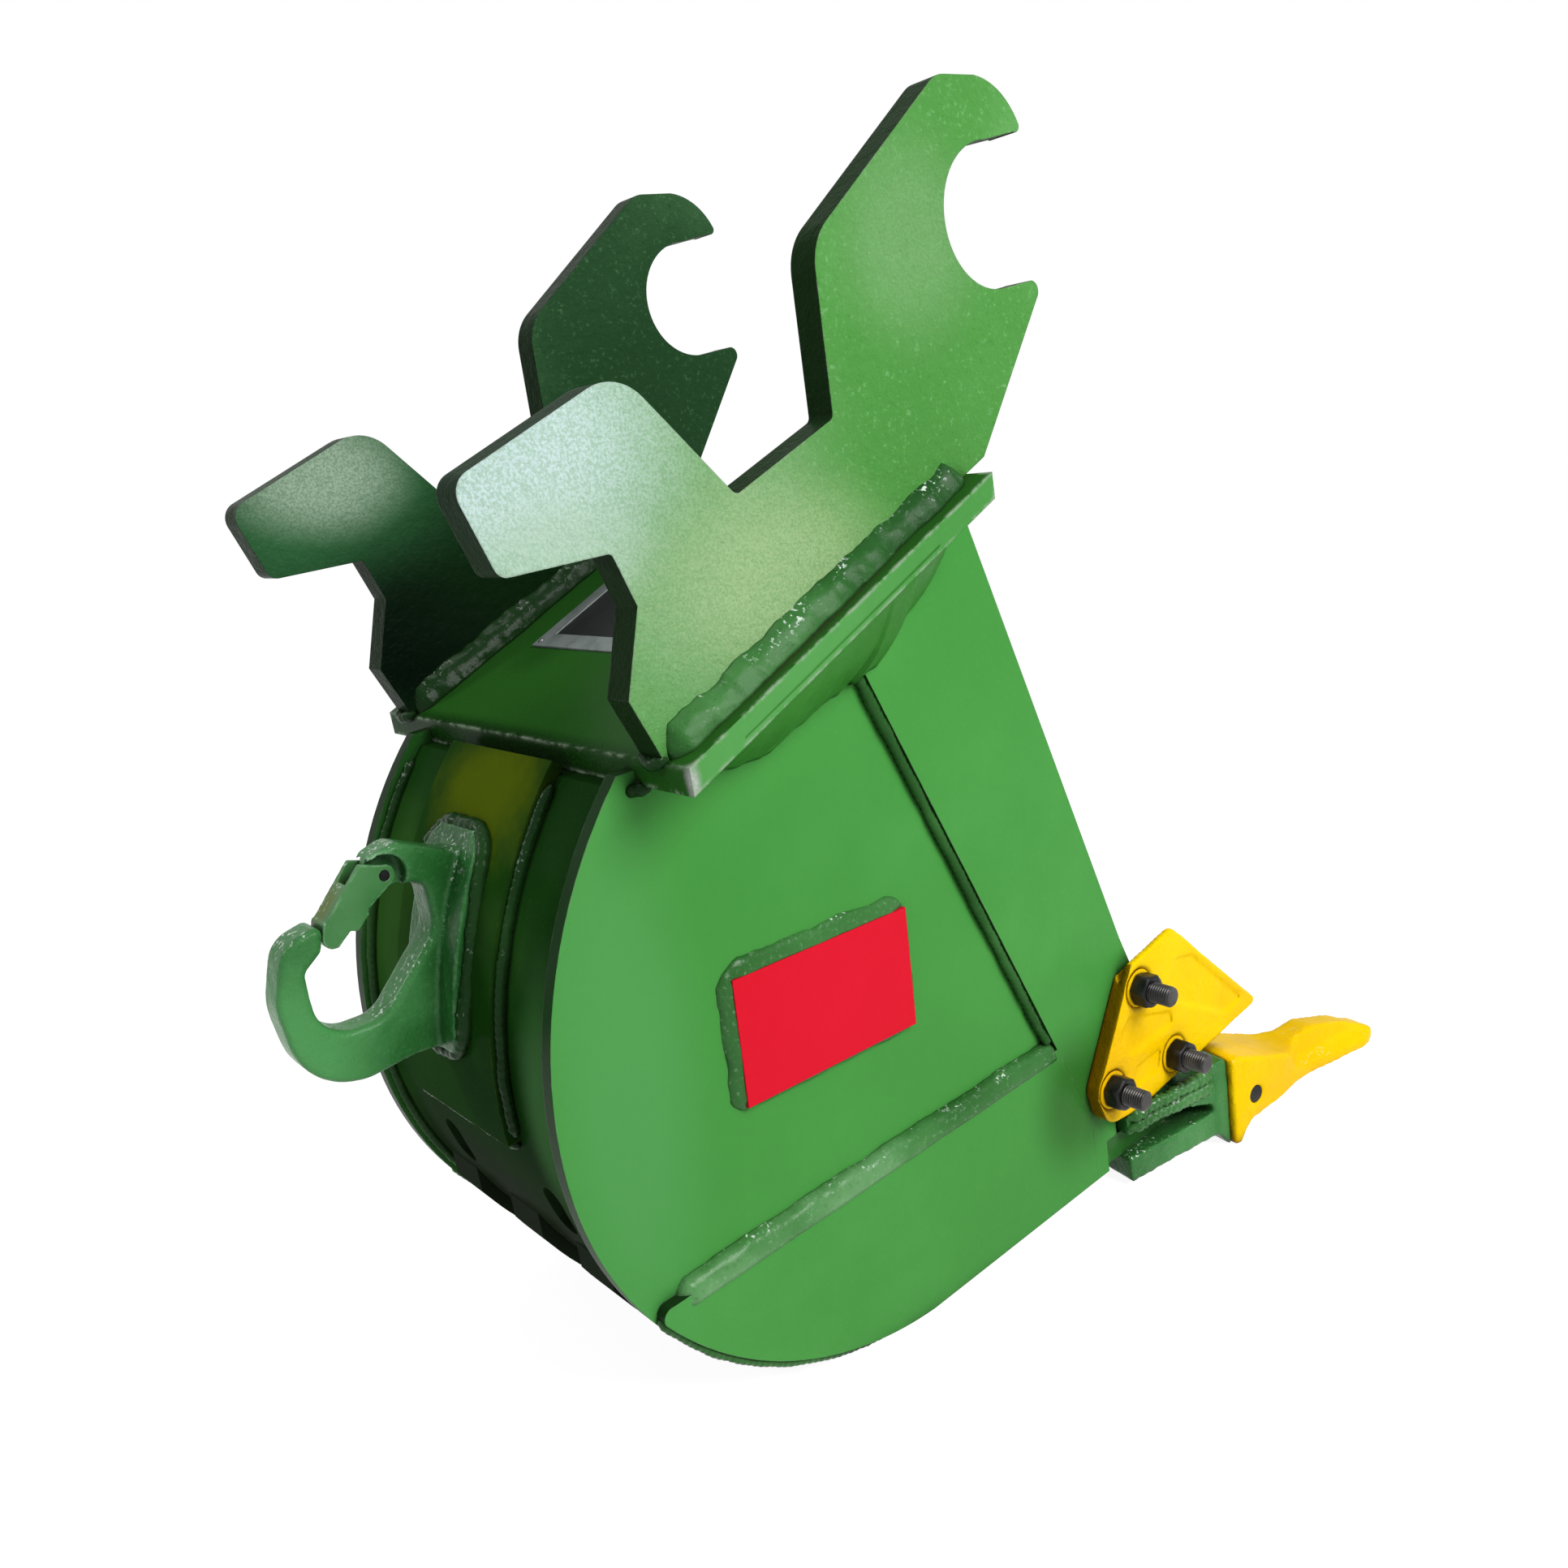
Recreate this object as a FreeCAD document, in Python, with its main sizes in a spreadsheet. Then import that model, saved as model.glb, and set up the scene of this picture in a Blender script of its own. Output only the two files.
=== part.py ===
import FreeCAD, Part
import Sketcher
import math
import os
from FreeCAD import Placement, Rotation, Vector

# Trenching bucket for an excavator's quick coupler.
# Every piece is drawn in the bucket frame: millimetres, origin at the centre of the coupler pin seat,
# X towards the teeth along the flat bottom, Y to the bucket's left, Z up from the flat bottom.
# Each piece then gets the same small pitch, which stands the bucket on its heel and its teeth.

doc = FreeCAD.newDocument("trenching_bucket")
sheet = doc.addObject("Spreadsheet::Sheet", "Sizes")

# Driving dimensions, in millimetres and degrees
SIZES = (
    ("stand_angle", 5.0, "rise of the flat bottom towards the teeth when the bucket stands"),
    ("pin_seat_radius", 52.0, "coupler pin seat"),
    ("seat_lip_tilt", 5.5, "rise of the pin seat's lower lip"),
    ("seat_head_wall", 43.0, "plate above the pin seat"),
    ("ears_outer_width", 405.0, "over both ears"),
    ("ear_thickness", 25.0, "ear plate"),
    ("ear_foot_overrun", 22.0, "ear foot past the front end of the base plate, along X"),
    ("base_rear_x", -373.4, "rear end of the base plate"),
    ("base_rear_z", -315.2, "top of the base plate at its rear end"),
    ("base_tilt", 23.3, "slope of the base plate"),
    ("base_length", 341.0, "base plate along its slope"),
    ("base_thickness", 18.0, "base plate"),
    ("base_width", 456.0, "base plate"),
    ("bucket_width", 325.0, "over the side plates"),
    ("side_thickness", 12.0, "side plate"),
    ("bar_step", 10.0, "side bar and wear plate stand proud of the side plate"),
    ("arc_z", -570.0, "height of both arc centres of the side outline"),
    ("back_centre_x", -135.0, "centre of the back arc"),
    ("back_radius", 353.0, "back arc of the side outline"),
    ("heel_radius", 300.0, "heel arc of the side outline"),
    ("rear_corner_z", -324.0, "top rear corner of the side plate"),
    ("seam_top_x", -188.0, "top of the seam between side plate and side bar"),
    ("seam_angle", 23.0, "seam from the vertical"),
    ("seam_foot_x", 44.0, "where the seam turns straight down"),
    ("mouth_x", -33.0, "front edge of the side bar at the mouth height"),
    ("mouth_z", -222.0, "mouth height, where mouth_x is given"),
    ("mouth_angle", 18.9, "front edge of the side bar from the vertical"),
    ("nose_start_rise", 175.0, "the side bar widens for the cutter below this height over its foot"),
    ("bar_step_gap", 2.0, "side bar foot to the corner adapter's leg"),
    ("bar_nose_x", 181.0, "front of the side bar above the lip"),
    ("bar_tab_length", 18.0, "tab of the side bar behind the corner adapter"),
    ("wear_top_rise", 160.0, "top edge of the side wear plate above the flat bottom"),
    ("wear_inset", 6.0, "side wear plate inside the heel arc"),
    ("wear_corner", 12.0, "rounded rear corner of the side wear plate"),
    ("wrapper_thickness", 12.0, "rolled back and floor sheet"),
    ("wrapper_inset", 10.0, "rolled sheet inside the side outline"),
    ("lip_rear_x", 30.0, "butt joint of floor and lip"),
    ("lip_front_x", 195.0, "cutting edge"),
    ("lip_thickness", 25.0, "lip plate"),
    ("lip_drop", 2.0, "underside of the lip below the floor sheet"),
    ("lip_bevel", 45.0, "length of the bevel on top of the lip"),
    ("lip_edge", 7.0, "thickness left at the cutting edge"),
    ("strip_width", 46.0, "wear strip under heel and floor"),
    ("strip_spacing", 104.0, "centre to centre of the wear strips"),
    ("strip_start", 203.0, "start of the wear strips on the heel arc, degrees from +X"),
    ("drain_width", 26.0, "drain hole"),
    ("drain_length", 44.0, "drain hole along the curve"),
    ("drain_drop", 73.0, "drain holes below the arc centres"),
    ("drain_right_y", -96.0, "right drain hole"),
    ("drain_left_y", 64.0, "left drain hole"),
    ("pad_thickness", 10.0, "pad under the lifting hook"),
    ("pad_width", 156.0, "pad under the lifting hook"),
    ("pad_top_angle", 135.5, "top of the pad on the back arc, degrees from +X"),
    ("pad_end_angle", 183.0, "lower end of the pad on the back arc"),
    ("hook_thickness", 30.0, "lifting hook body"),
    ("hook_round", 5.0, "forged edge radius of the hook"),
    ("foot_top_z", -372.0, "top of the hook foot"),
    ("foot_end_z", -522.0, "lower end of the hook foot"),
    ("foot_width", 80.0, "foot flange of the hook"),
    ("foot_thickness", 9.0, "foot flange of the hook"),
    ("foot_corner", 24.0, "corner radius of the foot flange"),
    ("foot_weld", 10.0, "leg of the fillet weld round the hook foot"),
    ("pivot_x", -501.0, "latch pivot"),
    ("pivot_z", -381.0, "latch pivot"),
    ("latch_angle", 218.2, "closed latch, degrees from +X"),
    ("nose_half", 4.0, "half the width of the hook nose between the latch cheeks"),
    ("nose_radius", 11.0, "rounded end of the hook nose"),
    ("cheek_room", 4.5, "thinned part of the hook round its nose, for the latch cheeks"),
    ("latch_pin_radius", 3.5, "latch pin"),
    ("pin_fit", 0.08, "running clearance of the latch on its pin"),
    ("latch_width", 24.0, "over the latch cheeks"),
    ("latch_web", 5.0, "web between the latch cheeks"),
    ("cheek_thickness", 4.5, "latch cheek"),
    ("latch_gap", 0.3, "latch to hook tip when closed"),
    ("tip_along", 52.0, "point of the hook tip's end face, along the latch"),
    ("tip_out", 16.0, "point of the hook tip's end face, out of the eye"),
    ("tip_slope", 0.64, "slope of the hook tip's end face"),
    ("spring_wire", 1.4, "latch spring wire diameter"),
    ("spring_radius", 5.2, "latch spring, centre of the wire from the pin axis"),
    ("spring_leg", 7.0, "free legs of the latch spring"),
    ("spring_gap", 0.2, "latch spring to the hook nose"),
    ("cutter_thickness", 16.0, "side cutter"),
    ("cutter_seat_depth", 3.0, "spot face under each nut"),
    ("cutter_bevel", 9.0, "bevel on the inner edges of the side cutter"),
    ("cast_depth", 2.5, "cast recesses in the outer face of the side cutter"),
    ("bolt_radius", 10.0, "M20 side cutter bolt"),
    ("bolt_hole_gap", 0.5, "radial clearance of the bolt holes"),
    ("bolt_reach", 37.0, "bolt end beyond the outer face of the cutter"),
    ("bolt_head_height", 12.5, "bolt head"),
    ("tight_fit", 0.02, "radial clearance of washers and nuts on bolts and of the latch pin in the nose"),
    ("nut_height", 16.0, "nut"),
    ("nut_across", 30.0, "nut and head across flats"),
    ("washer_radius", 18.5, "washer"),
    ("washer_thickness", 3.0, "washer"),
    ("corner_toe_out", 10.0, "corner adapters turned outwards"),
    ("corner_rear_x", 85.4, "rear end of the corner adapter legs"),
    ("corner_rear_y", 154.5, "centre line of the corner adapters at their rear end"),
    ("leg_width", 62.0, "adapter legs"),
    ("leg_length", 137.0, "adapter legs up to the collar face"),
    ("upper_leg", 22.0, "adapter leg on top of the lip"),
    ("lower_leg", 27.0, "adapter leg under the lip"),
    ("collar_width", 66.0, "adapter collar"),
    ("collar_length", 16.0, "adapter collar along its axis"),
    ("collar_top", 10.0, "collar above the upper leg"),
    ("collar_chin", 16.0, "collar below the lower leg"),
    ("nose_length", 62.0, "adapter nose inside the tooth"),
    ("nose_root_width", 52.0, "adapter nose at the collar"),
    ("nose_tip_width", 30.0, "adapter nose at its end"),
    ("nose_root_height", 66.0, "adapter nose at the collar"),
    ("nose_tip_height", 24.0, "adapter nose at its end"),
    ("nose_axis_rise", 1.0, "axis of nose, tooth pin and tooth box above the lip's underside"),
    ("tooth_gap", 0.4, "tooth socket to nose and tooth to collar"),
    ("tooth_width", 78.0, "tooth box"),
    ("tooth_length", 254.0, "tooth along its axis"),
    ("tooth_blade_width", 48.0, "tooth blade"),
    ("tooth_pin_radius", 9.0, "tooth pin"),
    ("tooth_pin_offset", 34.0, "tooth pin in front of the collar face"),
    ("tooth_pin_gap", 0.3, "tooth pin in its holes"),
    ("ear_weld", 13.0, "leg of the fillet weld at each ear"),
    ("weld_inset", 2.0, "ear welds short of the base plate's ends"),
    ("seam_weld_start", 30.0, "seam weld below the underside of the base plate"),
    ("seam_weld_end", 14.0, "seam weld above the wear plate"),
    ("wear_weld_inset", 8.5, "wear plate weld from the plate's rounded corner and from the seam"),
    ("seam_weld", 10.0, "leg of the fillet welds on the sides"),
    ("overhang_fill", 38.0, "leg of the weld fill under the base plate, at its thickest"),
    ("plate_width", 178.0, "name plate"),
    ("plate_height", 102.0, "name plate"),
    ("plate_thickness", 6.0, "name plate"),
    ("plate_x", -245.0, "centre of the name plate"),
    ("plate_z", -553.0, "centre of the name plate"),
    ("plate_tilt", 3.4, "name plate, down towards the teeth"),
    ("plate_weld", 9.0, "leg of the weld round the name plate"),
    ("data_length", 112.0, "data plate along the base plate"),
    ("data_width", 166.0, "data plate across"),
    ("data_thickness", 2.0, "data plate"),
    ("data_start", 104.0, "data plate from the rear end of the base plate"),
    ("data_centre_y", 36.0, "centre of the data plate"),
    ("rivet_radius", 3.0, "data plate rivet"),
    ("rivet_height", 1.2, "data plate rivet head"),
    ("rivet_inset", 7.0, "rivets from the edges of the data plate"),
)

for row, (alias, value, note) in enumerate(SIZES, start=1):
    sheet.set("A%d" % row, alias)
    sheet.set("B%d" % row, str(value))
    sheet.set("C%d" % row, note)
    sheet.setAlias("B%d" % row, alias)
doc.recompute()


def size(alias):
    """A driving dimension, read from the sheet."""
    return float(sheet.get(alias))


# Places that follow from the driving dimensions
STAND = Placement(Vector(0, 0, 0), Rotation(Vector(0, 1, 0), -size("stand_angle")))
SLOPE = math.radians(size("base_tilt"))
FLOOR_Z = size("arc_z") - size("heel_radius")
HEEL_X = size("back_centre_x") - (size("back_radius") - size("heel_radius"))
SIDE_OUTER = size("bucket_width") / 2
SIDE_INNER = SIDE_OUTER - size("side_thickness")
BAR_OUTER = SIDE_OUTER + size("bar_step")
BAR_THICKNESS = BAR_OUTER - SIDE_INNER
EAR_INNER = size("ears_outer_width") / 2 - size("ear_thickness")
LIP_UNDER = FLOOR_Z + size("wrapper_inset") - size("lip_drop")
LIP_TOP = LIP_UNDER + size("lip_thickness")
BAR_FOOT_Z = LIP_TOP + size("upper_leg")
BAR_TAB_X = size("seam_foot_x") + size("bar_tab_length")
# The side bar stands on the lip just behind the corner adapter's upper leg
BAR_STEP_X = (size("corner_rear_x") - size("bar_step_gap")
              - size("leg_width") / 2 * math.sin(math.radians(size("corner_toe_out"))))
PAD_OUTER = size("back_radius") - size("wrapper_inset") + size("pad_thickness")
CUTTER_OUTER = BAR_OUTER + size("cutter_thickness")

nodes = []


def under_base(x):
    """Height of the base plate's underside at x."""
    drop = size("base_thickness") / math.cos(SLOPE)
    return size("base_rear_z") - drop + (x - size("base_rear_x")) * math.tan(SLOPE)


def on_base(along, up=0.0):
    """Point (x, z) on the base plate's top, along its slope from the rear end."""
    x = size("base_rear_x") + along * math.cos(SLOPE) - up * math.sin(SLOPE)
    return x, size("base_rear_z") + along * math.sin(SLOPE) + up * math.cos(SLOPE)


def on_arc(centre_x, radius, angle):
    """Point (x, z) on a circle round (centre_x, arc_z), angle in degrees from +X."""
    turn = math.radians(angle)
    return centre_x + radius * math.cos(turn), size("arc_z") + radius * math.sin(turn)


def mouth_edge(z):
    """X of the side bar's front edge at height z."""
    lean = math.tan(math.radians(size("mouth_angle")))
    return size("mouth_x") + (size("mouth_z") - z) * lean


def seam(z):
    """X of the seam between side plate and side bar at height z."""
    top = size("seam_top_x")
    return top + (under_base(top) - z) * math.tan(math.radians(size("seam_angle")))


def seam_foot_z():
    """Height at which the slanted seam meets its vertical foot."""
    run = size("seam_foot_x") - size("seam_top_x")
    return under_base(size("seam_top_x")) - run / math.tan(math.radians(size("seam_angle")))


def line(start, end):
    return Part.LineSegment(Vector(start[0], start[1], 0), Vector(end[0], end[1], 0))


def arc(start, middle, end):
    points = [Vector(p[0], p[1], 0) for p in (start, middle, end)]
    return Part.Arc(*points)


def chain(*pieces):
    """Edges through points; a triple ('arc', middle, end) bends the step, a pair is a straight step."""
    edges = []
    here = pieces[0]
    for piece in pieces[1:]:
        if piece[0] == "arc":
            edges.append(arc(here, piece[1], piece[2]))
            here = piece[2]
        else:
            edges.append(line(here, piece))
            here = piece
    return edges


def rounded(*corners, closed=True):
    """Edges through corners (x, y, radius), each with a tangent arc; an open run has square ends."""
    steps = []
    count = len(corners)
    for index, (x, y, radius) in enumerate(corners):
        before = Vector(*corners[index - 1][:2], 0) - Vector(x, y, 0)
        after = Vector(*corners[(index + 1) % count][:2], 0) - Vector(x, y, 0)
        before.normalize()
        after.normalize()
        if radius <= 0:
            steps.append((Vector(x, y, 0),))
            continue
        half = before.getAngle(after) / 2
        reach = radius / math.tan(half)
        middle = before + after
        middle.normalize()
        depth = radius / math.sin(half) - radius
        corner = Vector(x, y, 0)
        steps.append((corner + before * reach, corner + middle * depth, corner + after * reach))
    edges = []
    for index, step in enumerate(steps):
        if len(step) == 3:
            edges.append(Part.Arc(*step))
        if index + 1 == count and not closed:
            break
        end = steps[(index + 1) % count][0]
        if step[-1].distanceToPoint(end) > 1e-6:
            edges.append(Part.LineSegment(step[-1], end))
    return edges


def circle(x, y, radius):
    return [Part.Circle(Vector(x, y, 0), Vector(0, 0, 1), radius)]


def rectangle(x0, y0, x1, y1):
    return chain((x0, y0), (x1, y0), (x1, y1), (x0, y1), (x0, y0))


def new_body(label):
    body = doc.addObject("PartDesign::Body", label)
    body.Label = label
    return body


def sketch(body, role, edges, name, offset="0"):
    """Sketch on one of the body's origin planes; offset is an expression along the plane's normal."""
    plane = next(f for f in body.Origin.OriginFeatures if f.Role == role)
    item = body.newObject("Sketcher::SketchObject", body.Name + "_" + name)
    item.AttachmentSupport = [(plane, "")]
    item.MapMode = "FlatFace"
    item.setExpression("AttachmentOffset.Base.z", offset)
    item.addGeometry(edges, False)
    joints = []
    for first in range(len(edges)):
        second = (first + 1) % len(edges)
        if len(edges) < 2 or isinstance(edges[first], Part.Circle):
            continue
        for a in (1, 2):
            for b in (1, 2):
                gap = item.getPoint(first, a).distanceToPoint(item.getPoint(second, b))
                if gap < 1e-5 and (len(edges) > 2 or (a, b) == (2, 1)):
                    joints.append(Sketcher.Constraint("Coincident", first, a, second, b))
    if joints:
        item.addConstraint(joints)
    return item


def pad(body, profile, length, symmetric=False, name="pad"):
    feature = body.newObject("PartDesign::Pad", body.Name + "_" + name)
    feature.Profile = profile
    feature.SideType = "Symmetric" if symmetric else "One side"
    feature.setExpression("Length", length)
    return feature


def pocket(body, profile, length=None, name="pocket", reverse=False, symmetric=False):
    feature = body.newObject("PartDesign::Pocket", body.Name + "_" + name)
    feature.Profile = profile
    feature.Reversed = reverse
    if symmetric:
        feature.SideType = "Symmetric"
    if length is None:
        feature.Type = "ThroughAll"
    else:
        feature.setExpression("Length", length)
    return feature


def place(item, label, local=None):
    """Stand the piece with the bucket and keep it as a node."""
    item.Label = label
    item.Placement = STAND.multiply(local or Placement())
    nodes.append(item)
    return item


def facing(side, distance):
    """Offset of a sketch that stands at this distance (an expression) on one side of the bucket."""
    return "(%s) * %d" % (distance, -side)


def side_piece(label, edges, side, inner, thickness):
    """Plate parallel to the sides; inner and thickness are expressions, side is -1 right, +1 left."""
    body = new_body(label)
    rear = inner if side < 0 else "%s + %s" % (inner, thickness)
    pad(body, sketch(body, "XZ_Plane", edges, "outline", facing(side, rear)), thickness)
    return body


def centred_piece(label, edges, width):
    """Plate or profile standing across the bucket, centred on its middle plane."""
    body = new_body(label)
    pad(body, sketch(body, "XZ_Plane", edges, "outline"), width, symmetric=True)
    return body


def feature_node(label, shape, local=None):
    """Node whose shape comes from solids made directly."""
    item = doc.addObject("Part::Feature", label)
    item.Shape = shape
    return place(item, label, local)


def prism(points, direction):
    """Solid swept straight from a flat polygon."""
    face = Part.Face(Part.makePolygon(list(points) + [points[0]]))
    return face.extrude(direction)


# Ears with the coupler pin seat and the wedge head
def ear_outline():
    seat = size("pin_seat_radius")
    head = seat + size("seat_head_wall")
    front = size("base_rear_x") + size("base_length") * math.cos(SLOPE) + size("ear_foot_overrun")
    foot_front = (front, size("base_rear_z") + (front - size("base_rear_x")) * math.tan(SLOPE))
    foot_rear = (size("base_rear_x"), size("base_rear_z"))
    wall_top = (-4.0, head, 0)
    kept = rounded(
        (foot_rear[0], foot_rear[1], 0),
        (-391.7, -268.8, 0),
        (-372.0, -212.5, 0),
        (-383.5, -177.5, 4),
        (-461.0, -177.5, 9),
        (-479.0, -120.0, 14),
        (-355.5, -72.0, 34),
        (-281.0, -159.3, 6),
        (-187.0, -122.8, 5),
        (-183.3, -8.0, 40),
        (-45.0, head, 24),
        wall_top,
        closed=False)
    tip = (41.0, seat + 10.0)
    # The lower lip leaves the seat along its tangent
    tilt = math.radians(size("seat_lip_tilt"))
    seat_end = (seat * math.sin(tilt), -seat * math.cos(tilt))
    lip = (35.0, seat_end[1] + (35.0 - seat_end[0]) * math.tan(tilt))
    tail = chain(wall_top[:2],
                 ("arc", (30.0, head - 17.0), tip),
                 ("arc", (40.0, seat + 6.5), (34.0, seat + 5.0)),
                 (0.0, seat),
                 ("arc", (-seat, 0.0), seat_end),
                 lip,
                 ("arc", (44.5, -1.0 - seat), (43.5, -9.0 - seat)),
                 foot_front,
                 foot_rear)
    return kept + tail


for side, word in ((-1, "right"), (1, "left")):
    ear = side_piece("ear_" + word, ear_outline(), side,
                     "Sizes.ears_outer_width / 2 - Sizes.ear_thickness", "Sizes.ear_thickness")
    place(ear, "ear_" + word)

# Base plate that carries the ears and closes the top of the bucket
base_front = on_base(size("base_length"))
base = centred_piece("base_plate", chain(
    (size("base_rear_x"), size("base_rear_z")),
    (size("base_rear_x"), under_base(size("base_rear_x"))),
    (base_front[0], under_base(base_front[0])),
    base_front,
    (size("base_rear_x"), size("base_rear_z"))), "Sizes.base_width")
place(base, "base_plate")


# Side plates, side bars and side wear plates
def heel_and_back(radius_cut=0.0):
    """Steps from the flat bottom round the heel and up the back to the rear corner."""
    heel = size("heel_radius") - radius_cut
    back = size("back_radius") - radius_cut
    rise = math.degrees(math.asin((size("rear_corner_z") - size("arc_z")) / back))
    top = 180 - rise
    return (("arc", on_arc(HEEL_X, heel, 225), on_arc(HEEL_X, heel, 180)),
            ("arc", on_arc(size("back_centre_x"), back, (180 + top) / 2),
             on_arc(size("back_centre_x"), back, top)))


def side_outline():
    top_x = size("seam_top_x")
    foot_x = size("seam_foot_x")
    return chain(
        (size("base_rear_x"), size("rear_corner_z")),
        (size("base_rear_x"), under_base(size("base_rear_x"))),
        (top_x, under_base(top_x)),
        (foot_x, seam_foot_z()),
        (foot_x, FLOOR_Z),
        (HEEL_X, FLOOR_Z),
        *heel_and_back(),
        (size("base_rear_x"), size("rear_corner_z")))


def bar_outline():
    top_x = size("seam_top_x")
    foot_x = size("seam_foot_x")
    slope = math.tan(SLOPE)
    lean = math.tan(math.radians(size("mouth_angle")))
    # The front edge meets the underside line of the base plate
    level = under_base(size("mouth_x"))
    corner_x = size("mouth_x") + (size("mouth_z") - level) * lean / (1 + slope * lean)
    start = BAR_FOOT_Z + size("nose_start_rise")
    return chain(
        (top_x, under_base(top_x)),
        (corner_x, under_base(corner_x)),
        (mouth_edge(start), start),
        (size("bar_nose_x"), BAR_FOOT_Z),
        (BAR_STEP_X, BAR_FOOT_Z),
        (BAR_STEP_X, LIP_TOP),
        (BAR_TAB_X, LIP_TOP),
        (BAR_TAB_X, FLOOR_Z),
        (foot_x, FLOOR_Z),
        (foot_x, seam_foot_z()),
        (top_x, under_base(top_x)))


WEAR_TOP = FLOOR_Z + size("wear_top_rise")


def wear_rear():
    """X of the side wear plate's rear end, where its top edge would meet its arc."""
    radius = size("heel_radius") - size("wear_inset")
    return HEEL_X - math.sqrt(radius ** 2 - (WEAR_TOP - size("arc_z")) ** 2)


def wear_outline():
    top = WEAR_TOP
    radius = size("heel_radius") - size("wear_inset")
    rear_x = wear_rear()
    corner = size("wear_corner")
    return chain(
        (rear_x + corner, top),
        (seam(top), top),
        (size("seam_foot_x"), seam_foot_z()),
        (size("seam_foot_x"), FLOOR_Z),
        (HEEL_X, FLOOR_Z),
        ("arc", on_arc(HEEL_X, radius, 232), (rear_x + 3, top - 0.9 * corner)),
        ("arc", (rear_x + 3.5, top - 0.3 * corner), (rear_x + corner, top)))


SIDE_INNER_CELL = "Sizes.bucket_width / 2 - Sizes.side_thickness"
# Side cutter bolts: x, and height over the foot of the side bar
BOLTS = [(x, BAR_FOOT_Z + rise) for x, rise in ((113.0, 125.0), (60.0, 41.0), (160.0, 32.0))]
for side, word in ((-1, "right"), (1, "left")):
    place(side_piece("side_plate_" + word, side_outline(), side, SIDE_INNER_CELL,
                     "Sizes.side_thickness"), "side_plate_" + word)
    bar = side_piece("side_bar_" + word, bar_outline(), side, SIDE_INNER_CELL,
                     "(Sizes.side_thickness + Sizes.bar_step)")
    holes = []
    for x, z in BOLTS:
        holes += circle(x, z, size("bolt_radius") + size("bolt_hole_gap"))
    drilled = sketch(bar, "XZ_Plane", holes, "bolt_holes", "-Sizes.base_width")
    pocket(bar, drilled, name="holes", reverse=True)
    place(bar, "side_bar_" + word)
    place(side_piece("side_wear_plate_" + word, wear_outline(), side, "Sizes.bucket_width / 2",
                     "Sizes.bar_step"), "side_wear_plate_" + word)


# Rolled sheet: back, heel and floor in one piece, with two drain holes
def wrapper_outline():
    inset = size("wrapper_inset")
    deep = inset + size("wrapper_thickness")

    def top_angle(radius):
        """Where the arc of this radius meets the underside of the base plate."""
        above, below = 110.0, 180.0
        for step in range(40):
            angle = (above + below) / 2
            x, z = on_arc(size("back_centre_x"), radius, angle)
            if z > under_base(max(x, size("base_rear_x"))):
                above = angle
            else:
                below = angle
        return below

    def half(cut):
        back = size("back_radius") - cut
        heel = size("heel_radius") - cut
        top = top_angle(back)
        return back, heel, top

    back, heel, top = half(inset)
    back_in, heel_in, top_in = half(deep)
    centre = size("back_centre_x")
    # The top edge is dressed to the rear corner of the base plate's underside
    corner_x = max(size("base_rear_x"), on_arc(centre, back, top)[0] + 0.5)
    return chain(
        (corner_x, under_base(corner_x)),
        on_arc(centre, back, top),
        ("arc", on_arc(centre, back, (top + 180) / 2), on_arc(centre, back, 180)),
        ("arc", on_arc(HEEL_X, heel, 225), on_arc(HEEL_X, heel, 270)),
        (size("lip_rear_x"), FLOOR_Z + inset),
        (size("lip_rear_x"), FLOOR_Z + deep),
        on_arc(HEEL_X, heel_in, 270),
        ("arc", on_arc(HEEL_X, heel_in, 225), on_arc(HEEL_X, heel_in, 180)),
        ("arc", on_arc(centre, back_in, (top_in + 180) / 2), on_arc(centre, back_in, top_in)),
        (corner_x, under_base(corner_x)))


wrapper = centred_piece("wrapper", wrapper_outline(), "2 * (%s)" % SIDE_INNER_CELL)
half_width = size("drain_width") / 2
half_length = size("drain_length") / 2 - half_width
inside_back = "Sizes.back_centre_x - Sizes.back_radius / 2"
for name, y in (("right", size("drain_right_y")), ("left", size("drain_left_y"))):
    z = size("arc_z") - size("drain_drop")
    slot = chain(
        (y - half_width, z - half_length),
        ("arc", (y, z - half_length - half_width), (y + half_width, z - half_length)),
        (y + half_width, z + half_length),
        ("arc", (y, z + half_length + half_width), (y - half_width, z + half_length)),
        (y - half_width, z - half_length))
    cut = sketch(wrapper, "YZ_Plane", slot, "drain_" + name, inside_back)
    pocket(wrapper, cut, name="drain_cut_" + name)
place(wrapper, "wrapper")


# Wear strips under heel and floor, in the depth that the sheet is set in
def strip_outline():
    inner = size("heel_radius") - size("wrapper_inset")
    start = size("strip_start")
    middle = (start + 270) / 2
    end_x = size("lip_rear_x") - 6
    return chain(
        on_arc(HEEL_X, inner, start),
        ("arc", on_arc(HEEL_X, inner, middle), on_arc(HEEL_X, inner, 270)),
        (end_x, FLOOR_Z + size("wrapper_inset")),
        (end_x, FLOOR_Z),
        on_arc(HEEL_X, size("heel_radius"), 270),
        ("arc", on_arc(HEEL_X, size("heel_radius"), middle + 2),
         on_arc(HEEL_X, size("heel_radius"), start + 4)),
        on_arc(HEEL_X, inner, start))


strips = []
for place_number in (-1, 0, 1):
    strip = centred_piece("strip_%d" % (place_number + 1), strip_outline(), "Sizes.strip_width")
    doc.recompute()
    shape = strip.Shape.copy()
    shape.translate(Vector(0, place_number * size("strip_spacing"), 0))
    strips.append(shape)
feature_node("heel_wear_strips", Part.makeCompound(strips))

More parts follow.
